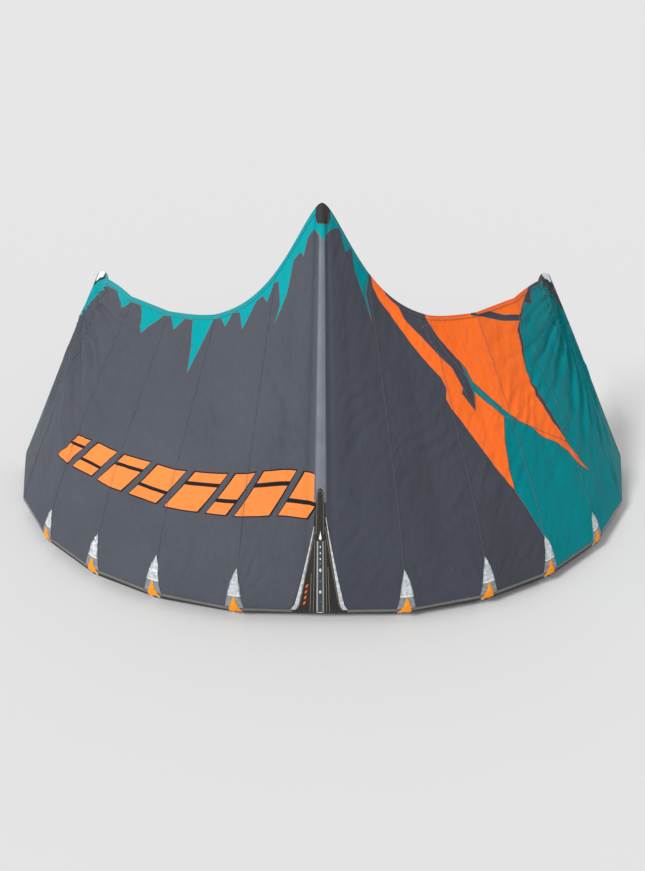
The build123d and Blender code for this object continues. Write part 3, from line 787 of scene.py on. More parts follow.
def make_canopy(side):
    label = LABELS[side]
    low, high = sorted([0, side])
    panels = [f"canopy_{label}_{count}" for count in range(1, 7)]
    return wing_piece(
        f"canopy_sheet_{label}",
        (low, -WRAP_V),
        (high, 1),
        CANOPY_CELL,
        INSERTS[side],
        GROUNDS[side],
        cloth_height,
        CLOTH_WALL,
        slot=f"canopy_cloth_{label}",
        replaces=panels,
    )


canopies = {side: make_canopy(side) for side in LABELS}

# %% [markdown]
# The trailing edge is the same cloth folded over and sewn down, so its hem carries the same
# inserts as the canopy under it. The seams between the canopy's panels, and the edges of the
# inserts, are narrow ribbons of stitching: a flat strip that follows a line of u and v.

# %% Hem and stitching
HEM_V = 0.984


def make_hem(side):
    label = LABELS[side]
    low, high = sorted([0.0, side])
    return wing_piece(
        f"trailing_edge_hem_{label}",
        (low, HEM_V),
        (high, 1),
        0.008,
        INSERTS[side],
        GROUNDS[side],
        above_cloth(0.0016),
        0.0012,
        slot="seam_tape",
        replaces=[f"trailing_edge_tape_{label}"],
    )


for side in LABELS:
    make_hem(side)


def ribbon(line, width, lift, step=0.014):
    """A bmesh strip of cloth or thread along a line of (u, v) points."""
    def metric(point):
        return Vector((point[0] * HALF_SPAN, point[1] * CURVE_LENGTH * chord_length(abs(point[0]))))

    lengths = [(metric(b) - metric(a)).length for a, b in zip(line, line[1:])]
    places = []
    for index, length in enumerate(lengths):
        count = max(1, math.ceil(length / step))
        for part in range(count):
            places.append((index, part / count))
    places.append((len(lengths) - 1, 1.0))
    strip = bmesh.new()
    bmesh.ops.create_grid(strip, x_segments=len(places) - 1, y_segments=1, size=0.5)
    layer = strip.loops.layers.uv.new("cloth")
    along = [0.0]
    points = [tuple(mix(line[i][k], line[i + 1][k], t) for k in (0, 1)) for i, t in places]
    for a, b in zip(points, points[1:]):
        along.append(along[-1] + (metric(b) - metric(a)).length)
    for face in strip.faces:
        for loop in face.loops:
            index = round((loop.vert.co.x + 0.5) * (len(places) - 1))
            loop[layer].uv = (along[index], loop.vert.co.y * width)
    for vert in strip.verts:
        index = round((vert.co.x + 0.5) * (len(places) - 1))
        before, after = points[max(0, index - 1)], points[min(len(points) - 1, index + 1)]
        travel = metric(after) - metric(before)
        beside = Vector((-travel.y, travel.x)).normalized() * (vert.co.y * width)
        u = points[index][0] + beside.x / HALF_SPAN
        v = points[index][1] + beside.y / (CURVE_LENGTH * chord_length(abs(points[index][0])))
        vert.co = wing_place(u, v, lift(u, v))
    return strip


def stitched_lines(name, lines, width, lift, material, slot="seam_tape"):
    """One piece from several ribbons; each is a thin closed strip."""
    shape = join_pieces([ribbon(line, width, lift) for line in lines])
    return new_piece(name, shape, [material], 0.0006, slot)


SEAM_HALF = 0.007  # half width of a felled seam, in metres
SEAM_FOOT = -0.045  # its lower end, in v


def seam_bands(side):
    """A felled seam between each two panels: a band of the canopy's own cloth and colours."""
    half = SEAM_HALF / HALF_SPAN
    cloths, lift = (INSERTS[side], GROUNDS[side]), above_cloth(0.0009)
    bands = []
    for seam in SEAMS[1:-1]:
        low, high = (side * seam - half, SEAM_FOOT), (side * seam + half, HEM_V)
        bands.append(cut_cloth(low, high, 0.012, *cloths, lift))
    return join_pieces(bands)


def seam_lines(side):
    """Both rows of stitches of each panel seam, from the leading edge to the trailing edge."""
    lines = []
    for seam in SEAMS[1:-1]:
        for offset in (-0.0018, 0.0018):
            u = side * (seam + offset)
            lines.append([(u, v) for v in (SEAM_FOOT, 0.25, 0.5, 0.75, 0.985)])
    return lines


def hem_lines(side):
    rows = []
    for v in (HEM_V + 0.003, 0.996):
        rows.append([(side * (0.004 + 0.99 * part / 40), v) for part in range(41)])
    return rows


def insert_lines(side):
    """The edges of the big inserts, kept to the part that is on the canopy."""
    lines = []
    for outline, material in INSERTS[side]:
        if material in (INK, PALE_ORANGE):
            continue
        line = []
        for point in outline + outline[:1]:
            if 0.0 < abs(point[0]) < 1.0 and 0.0 < point[1] < HEM_V + 0.004:
                line.append(point)
            elif len(line) > 1:
                lines.append(line)
                line = []
            else:
                line = []
        if len(line) > 1:
            lines.append(line)
    return lines


for side, label in LABELS.items():
    new_piece(
        f"panel_seams_{label}",
        seam_bands(side),
        finish_list(INSERTS[side], GROUNDS[side]),
        0.0006,
        "seam_tape",
    )
    for name, lines, width, step, thread in (
        ("seam_stitching", seam_lines, 0.0011, 0.0014, SEAM_GREY),
        ("hem_stitching", hem_lines, 0.0016, 0.0022, SEAM_BROWN),
        ("insert_seams", insert_lines, 0.0028, 0.0008, SEAM_BROWN),
    ):
        stitched_lines(f"{name}_{label}", lines(side), width, above_cloth(step), thread)

# %% [markdown]
# The leading edge is one long inflated tube, sewn from straight cone pieces with mitred ends.
# Air stretches each piece smooth in the middle, and the seams draw in, so the cloth puckers
# beside them. A flat grid is rolled up along the seam planes, and its joint is merged shut.

# %% Leading edge tube
def seam_turn(index):
    if index == 0:
        return 0.0
    if index == len(SEGMENTS):
        return segment_heading(index - 1)
    return (segment_heading(index - 1) + segment_heading(index)) / 2


def seam_circle(index, angle, lift):
    """A place on the tube's seam, angle from the top over the back."""
    turn = seam_turn(index)
    radius = tube_radius(SEAMS[index]) + lift
    middle = SEAM_PLACES[index] + Vector((0, 0, tube_radius(SEAMS[index])))
    back = Vector((-math.sin(turn), math.cos(turn), 0))
    return middle + radius * (math.cos(angle) * Vector((0, 0, 1)) + math.sin(angle) * back)


def tube_place(u, angle, lift=0.0):
    """A place on the sleeve, u along it and negative on the left half."""
    arc = min(abs(u), 1.0) * HALF_SPAN
    index = max(i for i in range(len(SEGMENTS)) if SEAM_ARCS[i] <= arc + 1e-9)
    share = (arc - SEAM_ARCS[index]) / SEGMENTS[index]
    place = seam_circle(index, angle, lift).lerp(seam_circle(index + 1, angle, lift), share)
    return Vector((-place.x, place.y, place.z)) if u < 0 else place


def pucker(u, angle):
    """How far the sleeve's cloth draws in, in metres: deepest beside the seams."""
    gap = min(abs(abs(u) - seam) for seam in SEAMS[1:]) * HALF_SPAN
    ripple = noise.noise(Vector((math.cos(angle) * 5, math.sin(angle) * 5, u * 9)))
    fold = noise.noise(Vector((math.cos(angle) * 11, math.sin(angle) * 11, u * 14 + 30)))
    near = math.exp(-((gap / 0.035) ** 2))
    return -0.0028 * near * (0.5 + abs(ripple) * 1.6) - 0.0012 * (0.5 + 0.5 * fold)


def rolled_sheet(rows, around, place):
    """A closed tube of rows by around faces; place(t, angle) has t from 0 to 1."""
    sheet = bmesh.new()
    bmesh.ops.create_grid(sheet, x_segments=rows, y_segments=around, size=0.5)
    layer = sheet.loops.layers.uv.new("cloth")
    flat = {vert: (vert.co.x + 0.5, (vert.co.y + 0.5) * 2 * math.pi) for vert in sheet.verts}
    middle = {t: place(t, 0.0) for t, _ in flat.values()}
    length = sum((middle[b] - middle[a]).length for a, b in zip(sorted(middle), sorted(middle)[1:]))
    for face in sheet.faces:
        for loop in face.loops:
            t, angle = flat[loop.vert]
            loop[layer].uv = (t * length, angle * 0.07)
    for vert, (t, angle) in flat.items():
        vert.co = place(t, angle)
    bmesh.ops.remove_doubles(sheet, verts=sheet.verts, dist=1e-5)
    return sheet


def close_ends(tube, steps=4, dome=0.10):
    """Draws each open end of a tube in to a low dome and closes it."""
    for _ in range(2):
        rim = [edge for edge in tube.edges if edge.is_boundary]
        if not rim:
            return
        loop_edges, front = {rim[0]}, [rim[0]]
        while front:
            edge = front.pop()
            for vert in edge.verts:
                for other in vert.link_edges:
                    if other.is_boundary and other not in loop_edges:
                        loop_edges.add(other)
                        front.append(other)
        corners = {vert for edge in loop_edges for vert in edge.verts}
        middle = sum((vert.co for vert in corners), Vector()) / len(corners)
        radius = max((vert.co - middle).length for vert in corners)
        inner = set()
        for vert in corners:
            inner.update(edge.other_vert(vert) for edge in vert.link_edges if not edge.is_boundary)
        behind = sum((vert.co for vert in inner), Vector()) / len(inner)
        outward = (middle - behind).normalized()
        edges = list(loop_edges)
        for step in range(1, steps + 1):
            made = bmesh.ops.extrude_edge_only(tube, edges=edges)["geom"]
            edges = [part for part in made if isinstance(part, bmesh.types.BMEdge)]
            verts = [part for part in made if isinstance(part, bmesh.types.BMVert)]
            shrink = math.cos(step / (steps + 1) * math.pi / 2)
            height = math.sin(step / (steps + 1) * math.pi / 2)
            spot = middle + outward * (radius * dome * height)
            current = sum((vert.co for vert in verts), Vector()) / len(verts)
            size = max((vert.co - current).length for vert in verts)
            for vert in verts:
                vert.co = spot + (vert.co - current) * (radius * shrink / size)
        bmesh.ops.triangle_fill(tube, edges=edges, use_beauty=True)


TUBE_ROWS = 336
TUBE_AROUND = 56


def sleeve_place(t, angle):
    u = 2 * t - 1
    return tube_place(u, angle, pucker(u, angle))


sleeve = rolled_sheet(TUBE_ROWS, TUBE_AROUND, sleeve_place)
close_ends(sleeve)
bmesh.ops.recalc_face_normals(sleeve, faces=sleeve.faces)
sleeve_nodes = ["leading_edge_center", "leading_edge_end_left", "leading_edge_end_right"]
for label in LABELS.values():
    sleeve_nodes += [f"leading_edge_{label}_{count}" for count in range(1, 6)]
new_piece(
    "leading_edge_sleeve", sleeve, [TUBE_SAILCLOTH], slot="black_dacron", replaces=sleeve_nodes
)

# %% [markdown]
# A tape covers each seam of the tube, with two rows of stitches. Each tape is a short piece
# of the same rolled sheet, a little larger, and so are the rows of stitches on it.

# %% Seam tapes
BAND_HALF = 0.013


def tube_band(middle, half, lift):
    """A ring of cloth round the sleeve at u = middle, half metres to each side."""
    def place(t, angle):
        u = middle + (2 * t - 1) * half / HALF_SPAN
        return tube_place(u, angle, lift + 0.5 * pucker(u, angle))

    return rolled_sheet(2, TUBE_AROUND, place)


bands, band_rows = [], []
for seam in SEAMS[1:-1]:
    for side in LABELS:
        bands.append(tube_band(side * seam, BAND_HALF, 0.0008))
        for offset in (-0.009, 0.009):
            band_rows.append(tube_band(side * seam + offset / HALF_SPAN, 0.0011, 0.0014))
new_piece("sleeve_seam_tapes", join_pieces(bands), [BLACK_SAILCLOTH], 0.0008, "black_dacron")
new_piece("sleeve_seam_stitching", join_pieces(band_rows), [SEAM_TAN], 0.0005, "black_dacron")

# %% [markdown]
# The strut is a tapering inflated tube under the canopy's centre line. Its front end meets
# the leading edge in a fish-mouth: each line along the strut starts where it reaches the big
# tube's surface. Its crest touches the canopy all the way.

# %% Strut
STRUT_FRONT, STRUT_REAR = 0.052, 0.028
STRUT_START, STRUT_END = 0.02, 0.985
SKIN_LOW = 0.0035
middle_rib = rib(0.0)


def strut_line(share):
    """Centre, outward direction and radius of the strut at a share of the centre curve."""
    here = middle_rib.skin(share, SKIN_LOW)
    travel = (middle_rib.skin(share + 0.01, SKIN_LOW) - here).normalized()
    outward = Vector((1, 0, 0)).cross(travel)
    radius = mix(STRUT_FRONT, STRUT_REAR, share)
    return here - outward * (radius + 0.001), outward, radius


def strut_point(share, angle, lift=0.0):
    middle, outward, radius = strut_line(share)
    across = Vector((1, 0, 0))
    return middle + (radius + lift) * (math.cos(angle) * outward + math.sin(angle) * across)


def mouth_share(angle):
    """Where a line along the strut leaves the leading edge tube."""
    low, high = STRUT_START, 0.35
    for _ in range(18):
        share = (low + high) / 2
        place = strut_point(share, angle)
        radius = tube_radius(0)
        distance = math.hypot(place.y - FRONT_Y, place.z - radius)
        low, high = (share, high) if distance < radius + 0.0005 else (low, share)
    return low


mouths = {}


def strut_place(t, angle, lift=0.0):
    key = round(angle, 4)
    if key not in mouths:
        mouths[key] = mouth_share(angle)
    share = mix(mouths[key], STRUT_END, t)
    wave = noise.noise(Vector((math.cos(angle) * 4, math.sin(angle) * 4, share * 12)))
    return strut_point(share, angle, lift - 0.0010 * (0.5 + 0.5 * wave))


strut_tube = rolled_sheet(120, 40, strut_place)
close_ends(strut_tube)
bmesh.ops.recalc_face_normals(strut_tube, faces=strut_tube.faces)
new_piece(
    "strut_tube",
    strut_tube,
    [TUBE_SAILCLOTH],
    slot="strut_dacron",
    replaces=["strut_sleeve", "strut_end_cap"],
)


def strut_band(share, half, lift):
    def place(t, angle):
        return strut_point(share + (2 * t - 1) * half, angle, lift)

    return rolled_sheet(2, 40, place)


def mouth_band(t, angle):
    share = mouth_share(angle) + 0.001 + 0.012 * t
    return strut_point(share, angle, 0.0008)


strut_tapes = [rolled_sheet(3, 40, mouth_band)]
strut_tapes += [strut_band(share, 0.007, 0.0007) for share in (0.34, 0.66, 0.972)]
new_piece("strut_seam_tapes", join_pieces(strut_tapes), [BLACK_SAILCLOTH], 0.0008, "strut_dacron")


# %% [markdown]
# Small pieces lie over the canopy cloth: the strut's strip and end patch, the tape on the
# front of the tube, the dark panel at the strut's root with its inflation gauge, the teeth
# of reflective film at the seams, and the patches in the wingtips' corners. Each is a piece
# of cloth cut from a flat grid to its outline.

# %% Strut strip and end patch
STRIP_HALF = 0.0145
STRIP_START = 0.30
# The strip's cloth is painted lighter than the canopy grey, as a painted highlight where the
# strut's crest catches the light from above.
STRUT_STRIP_HIGHLIGHT = sailcloth("strut_strip_cloth_painted_highlight", srgb(108, 113, 122), 0.45)
V_POINT = [(-0.016, OVER), (-0.016, 0.944), (0.004, 0.914), (0.016, 0.932), (0.016, OVER)]
wing_piece(
    "strut_strip",
    (-STRIP_HALF, STRIP_START),
    (STRIP_HALF, 0.985),
    0.009,
    [(V_POINT, TEAL_LIT_LEFT)],
    STRUT_STRIP_HIGHLIGHT,
    above_cloth(0.0010),
    0.0008,
    slot="strut_strip",
    replaces=["strut_attachment_strip"],
)
strip_rows = []
for u in (-0.0136, -0.0122, 0.0122, 0.0136):
    strip_rows.append([(u, mix(STRIP_START + 0.01, 0.92, part / 12)) for part in range(13)])
stitched_lines("strut_strip_stitching", strip_rows, 0.0018, above_cloth(0.0018), SEAM_GREY)

END_PATCH = [
    (-0.030, OVER), (-0.029, 0.975), (-0.022, 0.961), (-0.008, 0.955), (0.012, 0.955),
    (0.028, 0.962), (0.036, 0.977), (0.037, OVER),
]
wing_piece(
    "strut_end_patch",
    (-0.032, 0.950),
    (0.039, 1.0),
    0.006,
    [(END_PATCH, BLACK_SAILCLOTH)],
    None,
    above_cloth(0.0030),
    0.0012,
    slot="black_dacron",
)
stitched_lines(
    "strut_end_stitching", [END_PATCH[1:-1]], 0.0030, above_cloth(0.0036), SEAM_BROWN
)

# %% Front tape
PANEL_FOOT = 0.053  # half width of the root panel at the tape, in u
TIP_TAPE_START = 0.69


def front_tape(side):
    label = LABELS[side]
    low, high = sorted([side * PANEL_FOOT, side])
    # Towards the wingtip the tape is silver film in its darker copy, painted shade.
    bright = sorted([side * TIP_TAPE_START, side * 1.02])
    tip = [(bright[0], 0), (bright[1], 0), (bright[1], -0.2), (bright[0], -0.2)]
    wing_piece(
        f"front_tape_{label}",
        (low, -WRAP_V - TAPE_V),
        (high, -WRAP_V),
        0.012,
        [(tip, SILVER_SHADE)],
        TAPE_GREY,
        lambda u, v: SKIN_LIFT + 0.0004,
        0.0010,
        slot="seam_tape",
        replaces=[f"leading_edge_tape_{label}"],
    )
    rows = []
    for v in (-WRAP_V - 0.003, -WRAP_V - TAPE_V + 0.003):
        rows.append([(mix(low, high, part / 60), v) for part in range(61)])
    stitched_lines(
        f"front_tape_stitching_{label}", rows, 0.0022, lambda u, v: SKIN_LIFT + 0.001, SEAM_BLACK
    )


for side in LABELS:
    front_tape(side)

# %% [markdown]
# The root panel is black sailcloth: a narrow round-headed patch on the strut that widens to
# a triangle at the leading edge. Silver tape covers both of its slanting edges.

# %% Root panel
TAPE_TOP = -WRAP_V
PANEL_LEFT = [
    (-0.0144, 0.262), (-0.0144, 0.232), (-0.0530, 0.0), (-0.0553, TAPE_TOP),
    (-0.0553, -WRAP_V - TAPE_V),
]
PANEL_RIGHT = [
    (0.0507, -WRAP_V - TAPE_V), (0.0507, TAPE_TOP), (0.0461, 0.0), (0.0121, 0.250), (0.0098, 0.285),
]
HEAD_U, HEAD_V = -0.0009, 0.318
HEAD_HALF_U, HEAD_HALF_V = 0.0081, 0.020


def round_head():
    """The rounded top of the strut patch, from right to left."""
    arc = [math.pi * part / 10 for part in range(11)]
    return [(HEAD_HALF_U * math.cos(a) + HEAD_U, HEAD_V + HEAD_HALF_V * math.sin(a)) for a in arc]


PANEL = PANEL_LEFT + PANEL_RIGHT + round_head() + [(-0.0109, 0.285)]
wing_piece(
    "root_panel",
    (-0.058, -WRAP_V - TAPE_V),
    (0.053, 0.342),
    0.010,
    [(PANEL, BLACK_SAILCLOTH)],
    None,
    above_cloth(0.0016),
    0.0010,
    slot="black_dacron",
    replaces=["strut_root_patch"],
)


def slanted_tape(top, bottom, top_width, bottom_width):
    """A tapering tape between two points of its inner edge; widths are in u, outwards."""
    return [top, (top[0] + top_width, top[1]), (bottom[0] + bottom_width, bottom[1]), bottom]


LEFT_TAPE = slanted_tape((-0.0132, 0.236), (-0.0489, TAPE_TOP), -0.0014, -0.0098)
RIGHT_TAPE = slanted_tape((0.0113, 0.262), (0.0443, TAPE_TOP), 0.0014, 0.0098)
wing_piece(
    "root_panel_tapes",
    (-0.062, TAPE_TOP),
    (0.058, 0.27),
    0.010,
    [(LEFT_TAPE, SILVER), (RIGHT_TAPE, SILVER)],
    None,
    above_cloth(0.0024),
    0.0008,
    slot="reflective_flash",
)
panel_rows = [
    [(-0.0466, TAPE_TOP + 0.004), (-0.0305, 0.09), (-0.0121, 0.225)],
    [(0.042, TAPE_TOP + 0.004), (0.0271, 0.09), (0.0106, 0.235)],
    [(-0.0138, -0.07), (-0.0132, 0.06), (-0.0121, 0.20)],
    [(-0.0207, -0.07), (-0.0193, 0.04), (-0.0184, 0.10)],
    [(0.0127, -0.07), (0.0124, 0.06), (0.0113, 0.20)],
    [(0.019, -0.07), (0.0173, 0.04), (0.0161, 0.12)],
    [(-0.0092, 0.215), (-0.0083, 0.270), (-0.0076, 0.318)],
    [(0.0071, 0.215), (0.0067, 0.270), (0.006, 0.318)],
    [(u * 0.80 - 0.0002, HEAD_V + (v - HEAD_V) * 0.72) for u, v in round_head()],
]
stitched_lines(
    "root_panel_stitching", panel_rows, 0.0024, above_cloth(0.0022), SEAM_TAN, "black_dacron"
)

# %% [markdown]
# The inflation gauge is a printed strip up the middle of the panel, with a pale rail down
# each side, small marks on a dark field and a drop above it. The marks are plain shapes.

# %% Inflation gauge
GAUGE_HALF = 0.0076
GAUGE_RAIL_WIDTH = 0.0030
GAUGE_TOP = 0.196
GAUGE_FOOT = -WRAP_V - TAPE_V * 0.9


def box_outline(low, high):
    return [low, (high[0], low[1]), high, (low[0], high[1])]


def diamond(v, half_u, half_v):
    return [(0, v - half_v), (half_u, v), (0, v + half_v), (-half_u, v)]


GAUGE_FIELD_HALF = GAUGE_HALF - GAUGE_RAIL_WIDTH
gauge_shapes = [
    (box_outline((-GAUGE_HALF, GAUGE_FOOT), (-GAUGE_FIELD_HALF, GAUGE_TOP)), GAUGE_RAIL),
    (box_outline((GAUGE_FIELD_HALF, GAUGE_FOOT), (GAUGE_HALF, GAUGE_TOP)), GAUGE_RAIL),
]
for v in (0.112, 0.044):
    gauge_shapes.append((diamond(v, 0.0030, 0.0062), WHITE_INK_AND_HIGHLIGHT))
    gauge_shapes.append((diamond(v, 0.0012, 0.0026), GAUGE_FIELD))
for v in (0.180, 0.162, 0.145):
    gauge_shapes.append((diamond(v, 0.0015, 0.0034), WHITE_INK_AND_HIGHLIGHT))
for v in (0.132, 0.078, 0.012):
    gauge_shapes.append((diamond(v, 0.0010, 0.0024), GAUGE_RAIL))
gauge_shapes.append((box_outline((-0.0039, GAUGE_FOOT), (0.0039, GAUGE_FOOT + 0.009)), WHITE_INK_AND_HIGHLIGHT))
wing_piece(
    "pressure_gauge_strip",
    (-GAUGE_HALF, GAUGE_FOOT),
    (GAUGE_HALF, GAUGE_TOP),
    0.008,
    gauge_shapes,
    GAUGE_FIELD,
    above_cloth(0.0024),
    0.0008,
    slot="gauge_print",
    replaces=["inflation_gauge"],
)
DROP = [
    (0.0, 0.226), (0.0008, 0.217), (0.0025, 0.208), (0.003, 0.203), (0.0016, 0.1995),
    (-0.0016, 0.1995), (-0.003, 0.203), (-0.0025, 0.208), (-0.0008, 0.217),
]
wing_piece(
    "gauge_drop_mark",
    (-0.0035, 0.198),
    (0.0035, 0.227),
    0.008,
    [(DROP, WHITE_INK_AND_HIGHLIGHT)],
    None,
    above_cloth(0.0022),
    0.0005,
    slot="gauge_print",
)
TICK = [(0.0, -0.006), (0.0044, -0.001), (0.0053, 0.008), (0.0009, 0.003)]
ticks = []
for v in (0.006, 0.024, 0.042, 0.060):
    foot = -0.0345 + 0.08 * v
    ticks.append(([(foot + across, v + rise) for across, rise in TICK], ORANGE))
wing_piece(
    "root_panel_ticks",
    (-0.036, -0.002),
    (-0.023, 0.070),
    0.008,
    ticks,
    None,
    above_cloth(0.0021),
    0.0005,
    slot="gauge_print",
)

# %% [markdown]
# The teeth are thorns of silver film, wide at the tape and flaring towards the strut, each
# with a smaller orange thorn low on it that laps over the tape. One outline in metres serves
# all eight: it is set at a seam, scaled to that tooth's height and mirrored on the left.
# The lower part of each tooth is the silver film painted darker, as painted shade, and a thin white
# strip above it is a painted highlight.

# %% Teeth of reflective film
TOOTH_HEIGHTS = (0.222, 0.208, 0.196, 0.152)  # from the tape's upper edge, for seams 1 to 4
TOOTH = [
    (-0.049, 0.0), (-0.038, 0.12), (-0.028, 0.28), (-0.0155, 0.60), (-0.0065, 0.83), (0.0, 1.0),
    (0.0085, 0.90), (0.022, 0.70), (0.032, 0.45), (0.040, 0.20), (0.047, 0.0),
]
TOOTH_INSERT = [
    (-0.047, -0.115), (-0.030, -0.03), (-0.016, 0.06), (-0.006, 0.16), (0.003, 0.33),
    (0.013, 0.20), (0.022, 0.04), (0.028, -0.115),
]
# The lower share of a tooth's height gets painted shade, and the thin strip between the two shares
# a painted highlight.
HIGHLIGHT_LINE = (0.30, 0.325)


def tooth_outline(outline, seam, side):
    """The thorn on the wing: metres across and share of the height, to u and v."""
    u = SEAMS[seam]
    height = TOOTH_HEIGHTS[seam - 1]
    here = rib(u)
    wrap = (here.radius + SKIN_LIFT) * (here.front - here.leave)
    climb = 0.9 * here.length
    places = []
    for across, share in outline:
        rise = share * height
        v = -WRAP_V * (1 - rise / wrap) if rise < wrap else (rise - wrap) / climb
        v = -WRAP_V + TAPE_V * rise / ((here.radius + SKIN_LIFT) * TAPE_ANGLE) if rise < 0 else v
        places.append((side * (u + across * (1 + 0.25 * share) / HALF_SPAN), v))
    return places


def highlight_outline(seam, side):
    low, high = HIGHLIGHT_LINE
    corners = [(-0.06, low), (0.06, low + 0.02), (0.06, high + 0.02), (-0.06, high)]
    return tooth_outline(corners, seam, side)


def shaded_outline(seam, side):
    low = HIGHLIGHT_LINE[0]
    corners = [(-0.06, 0.0), (0.06, 0.0), (0.06, low + 0.02), (-0.06, low)]
    return tooth_outline(corners, seam, side)


def tooth_cloth(outline, shapes, lift):
    low = (min(u for u, _ in outline), min(v for _, v in outline))
    high = (max(u for u, _ in outline), max(v for _, v in outline))
    cell = (0.006 / HALF_SPAN, 0.006 / 1.4)
    cloth = flat_cloth(low, high, cell)
    for cut, _ in shapes:
        cut_along(cloth, cut, cell)
    spare = [f for f in cloth.faces if not inside(f.calc_center_median(), outline)]
    bmesh.ops.delete(cloth, geom=spare, context="FACES")
    for face in cloth.faces:
        middle = face.calc_center_median()
        for cut, index in shapes:
            if inside(middle, cut):
                face.material_index = index
    bend_onto_wing(cloth, lift)
    return cloth


for side, label in LABELS.items():
    films, thorns, edges = [], [], []
    for seam in (1, 2, 3, 4):
        outline = tooth_outline(TOOTH, seam, side)
        # Index 1 is the painted shade on the lower part, index 2 the painted highlight strip.
        shapes = [(outline, 0), (shaded_outline(seam, side), 1), (highlight_outline(seam, side), 2)]
        films.append(tooth_cloth(outline, shapes, above_cloth(0.0022)))
        thorn = tooth_outline(TOOTH_INSERT, seam, side)
        thorns.append(tooth_cloth(thorn, [(thorn, 0)], above_cloth(0.0032)))
        edges.append([(mix(u, side * SEAMS[seam], 0.1), v - 0.001) for u, v in outline[1:-1]])
    new_piece(
        f"reflective_teeth_{label}",
        join_pieces(films),
        [SILVER, SILVER_SHADE, WHITE_INK_AND_HIGHLIGHT],
        0.0008,
        "reflective_flash",
        [f"reflective_flashes_{label}"],
    )
    slot = "reflective_flash"
    new_piece(f"orange_thorns_{label}", join_pieces(thorns), [TOOTH_ORANGE], 0.0008, slot)
    stitched_lines(
        f"tooth_stitching_{label}", edges, 0.0014, above_cloth(0.0026), SEAM_GREY, slot
    )

# %% [markdown]
# A webbing hem closes each wingtip, and a white patch with a dark edge covers its upper
# corner, where the rear line's load comes in.

# %% Wingtips
TIP_HEM = 0.0056
CORNER_EDGE = [(0.885, OVER), (0.885, 0.982), (0.978, 0.938), (1.01, 0.950), (1.01, OVER)]
CORNER_FACE = [(0.898, OVER), (0.898, 0.990), (0.975, 0.953), (0.990, 0.968), (0.990, OVER)]
CHEVRON = [(0.800, 0.955), (0.818, 0.978), (0.845, 0.972)]

for side, label in LABELS.items():
    low, high = sorted([side, side * (1 + TIP_HEM)])
    wing_piece(
        f"wingtip_webbing_{label}",
        (low, -WRAP_V),
        (high, 1),
        0.008,
        [],
        HEM_GREY if side > 0 else TEAL_LIT_LEFT,
        lambda u, v: SKIN_LIFT + 0.0010,
        0.0030,
        slot="hem_tape",
        replaces=[f"wingtip_hem_{label}"],
    )
    low, high = sorted([side * 0.87, side])
    wing_piece(
        f"wingtip_corner_{label}",
        (low, 0.93),
        (high, 1),
        0.006,
        [(signed(CORNER_EDGE, side), BLACK_SAILCLOTH), (signed(CORNER_FACE, side), CORNER_WHITE)],
        None,
        above_cloth(0.0034),
        0.0012,
        slot="white_patch",
        replaces=[f"wingtip_corner_patch_{label}"],
    )
    stitched_lines(
        f"wingtip_stitching_{label}",
        [signed(CHEVRON, side), [(side * 1.0026, 0.9 * part / 30) for part in range(31)]],
        0.0030,
        lambda u, v: cloth_height(u, v) + (0.0018 if abs(u) > 1 else 0.0008),
        SEAM_BLACK,
    )


# %% [markdown]
# The valve, hose, clamp and webbing loops keep their CAD shapes, which are right as they are.
# They get finishes of their own: moulded plastic with a fine grain, a soft milky hose, and
# webbing with ribs across it.

# %% Finishes for the moulded parts
def moulded(name, colour, roughness=0.45, grain=900.0, clear=0.0):
    material, tree, principled = shader(name, roughness)
    place = object_coordinates(tree)
    tone = tone_node(tree, noise_node(tree, place, 35.0, 4.0), colour, 0.10)
    tree.links.new(tone, principled.inputs["Base Color"])
    bump_layers(tree, principled, [(noise_node(tree, place, grain, 2.0), 0.25, 0.0003)])
    if clear:
        principled.inputs["Subsurface Weight"].default_value = clear
        principled.inputs["Subsurface Radius"].default_value = (0.01, 0.01, 0.01)
        principled.inputs["Subsurface Scale"].default_value = 0.5
    return material


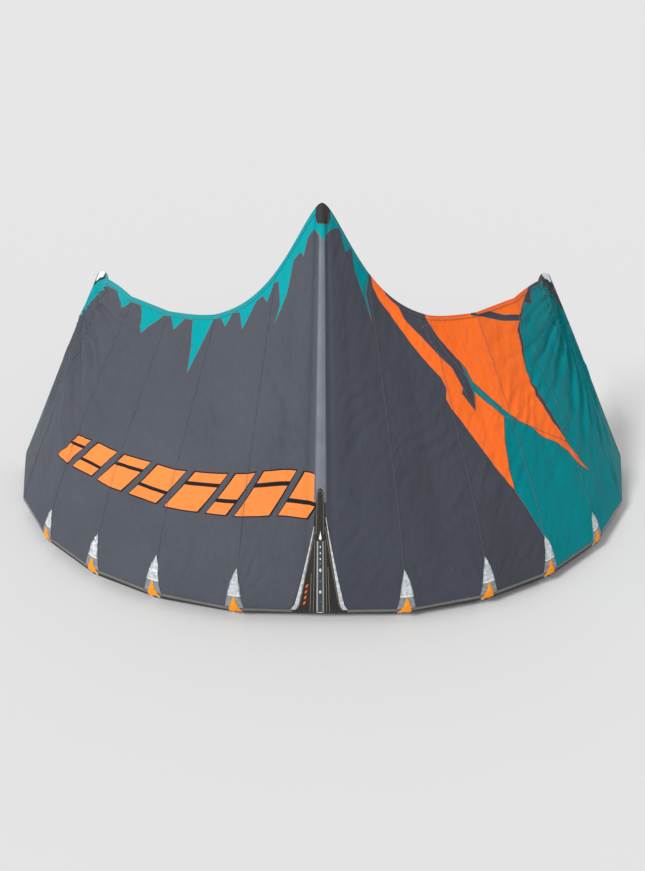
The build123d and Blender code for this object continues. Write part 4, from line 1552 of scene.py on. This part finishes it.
def webbing(name, colour):
    material, tree, principled = shader(name, 0.75)
    place = object_coordinates(tree)
    ribs_across = thread_lines(tree, place, "Z", 0.0026, 0.0013)
    fuzz = noise_node(tree, place, 420.0, 3.0)
    tree.links.new(tone_node(tree, fuzz, colour, 0.3), principled.inputs["Base Color"])
    bump_layers(tree, principled, [(fuzz, 0.4, 0.0006), (ribs_across, 0.6, 0.0005)])
    principled.inputs["Sheen Weight"].default_value = 0.2
    return material


def bladder_film(name):
    material, tree, principled = shader(name, 0.3)
    place = object_coordinates(tree)
    tone = tone_node(tree, noise_node(tree, place, 12.0, 4.0), srgb(214, 218, 214), 0.06)
    tree.links.new(tone, principled.inputs["Base Color"])
    bump_layers(tree, principled, [(noise_node(tree, place, 30.0, 5.0), 0.4, 0.004)])
    return material


VALVE_BLACK = moulded("valve_black", srgb(34, 35, 37))
VALVE_GREY = moulded("valve_grey", srgb(120, 124, 128), 0.4)
VALVE_RUBBER = moulded("valve_rubber_soft", srgb(150, 152, 150), 0.6, 500.0)
HOSE_FILM = moulded("hose_soft", srgb(190, 194, 192), 0.35, 300.0, clear=0.3)
CLAMP_GREY = moulded("clamp_grey", srgb(52, 54, 58), 0.4)
LEVER_ORANGE = moulded("lever_orange", srgb(235, 105, 40), 0.4)
LOOP_WEBBING = webbing("loop_webbing", srgb(30, 30, 33))
BLADDER = bladder_film("bladder_film_clear")

CAD_FINISHES = {
    BLADDER: ["leading_edge_bladder", "strut_bladder"],
    VALVE_RUBBER: ["valve_flange", "valve_flap", "hose_fittings"],
    VALVE_BLACK: ["valve_socket", "valve_cap"],
    VALVE_GREY: ["valve_insert"],
    HOSE_FILM: ["one_pump_hose"],
    CLAMP_GREY: ["hose_clamp_body"],
    LEVER_ORANGE: ["hose_clamp_lever"],
    LOOP_WEBBING: ["pump_leash_loop", "front_bridle_loops_left", "front_bridle_loops_right"]
    + ["rear_line_loop_left", "rear_line_loop_right"],
}
for material, nodes in CAD_FINISHES.items():
    for node in nodes:
        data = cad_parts[node].data
        data.materials.clear()
        data.materials.append(material)
print(sum(map(len, CAD_FINISHES.values())), "CAD pieces finished")
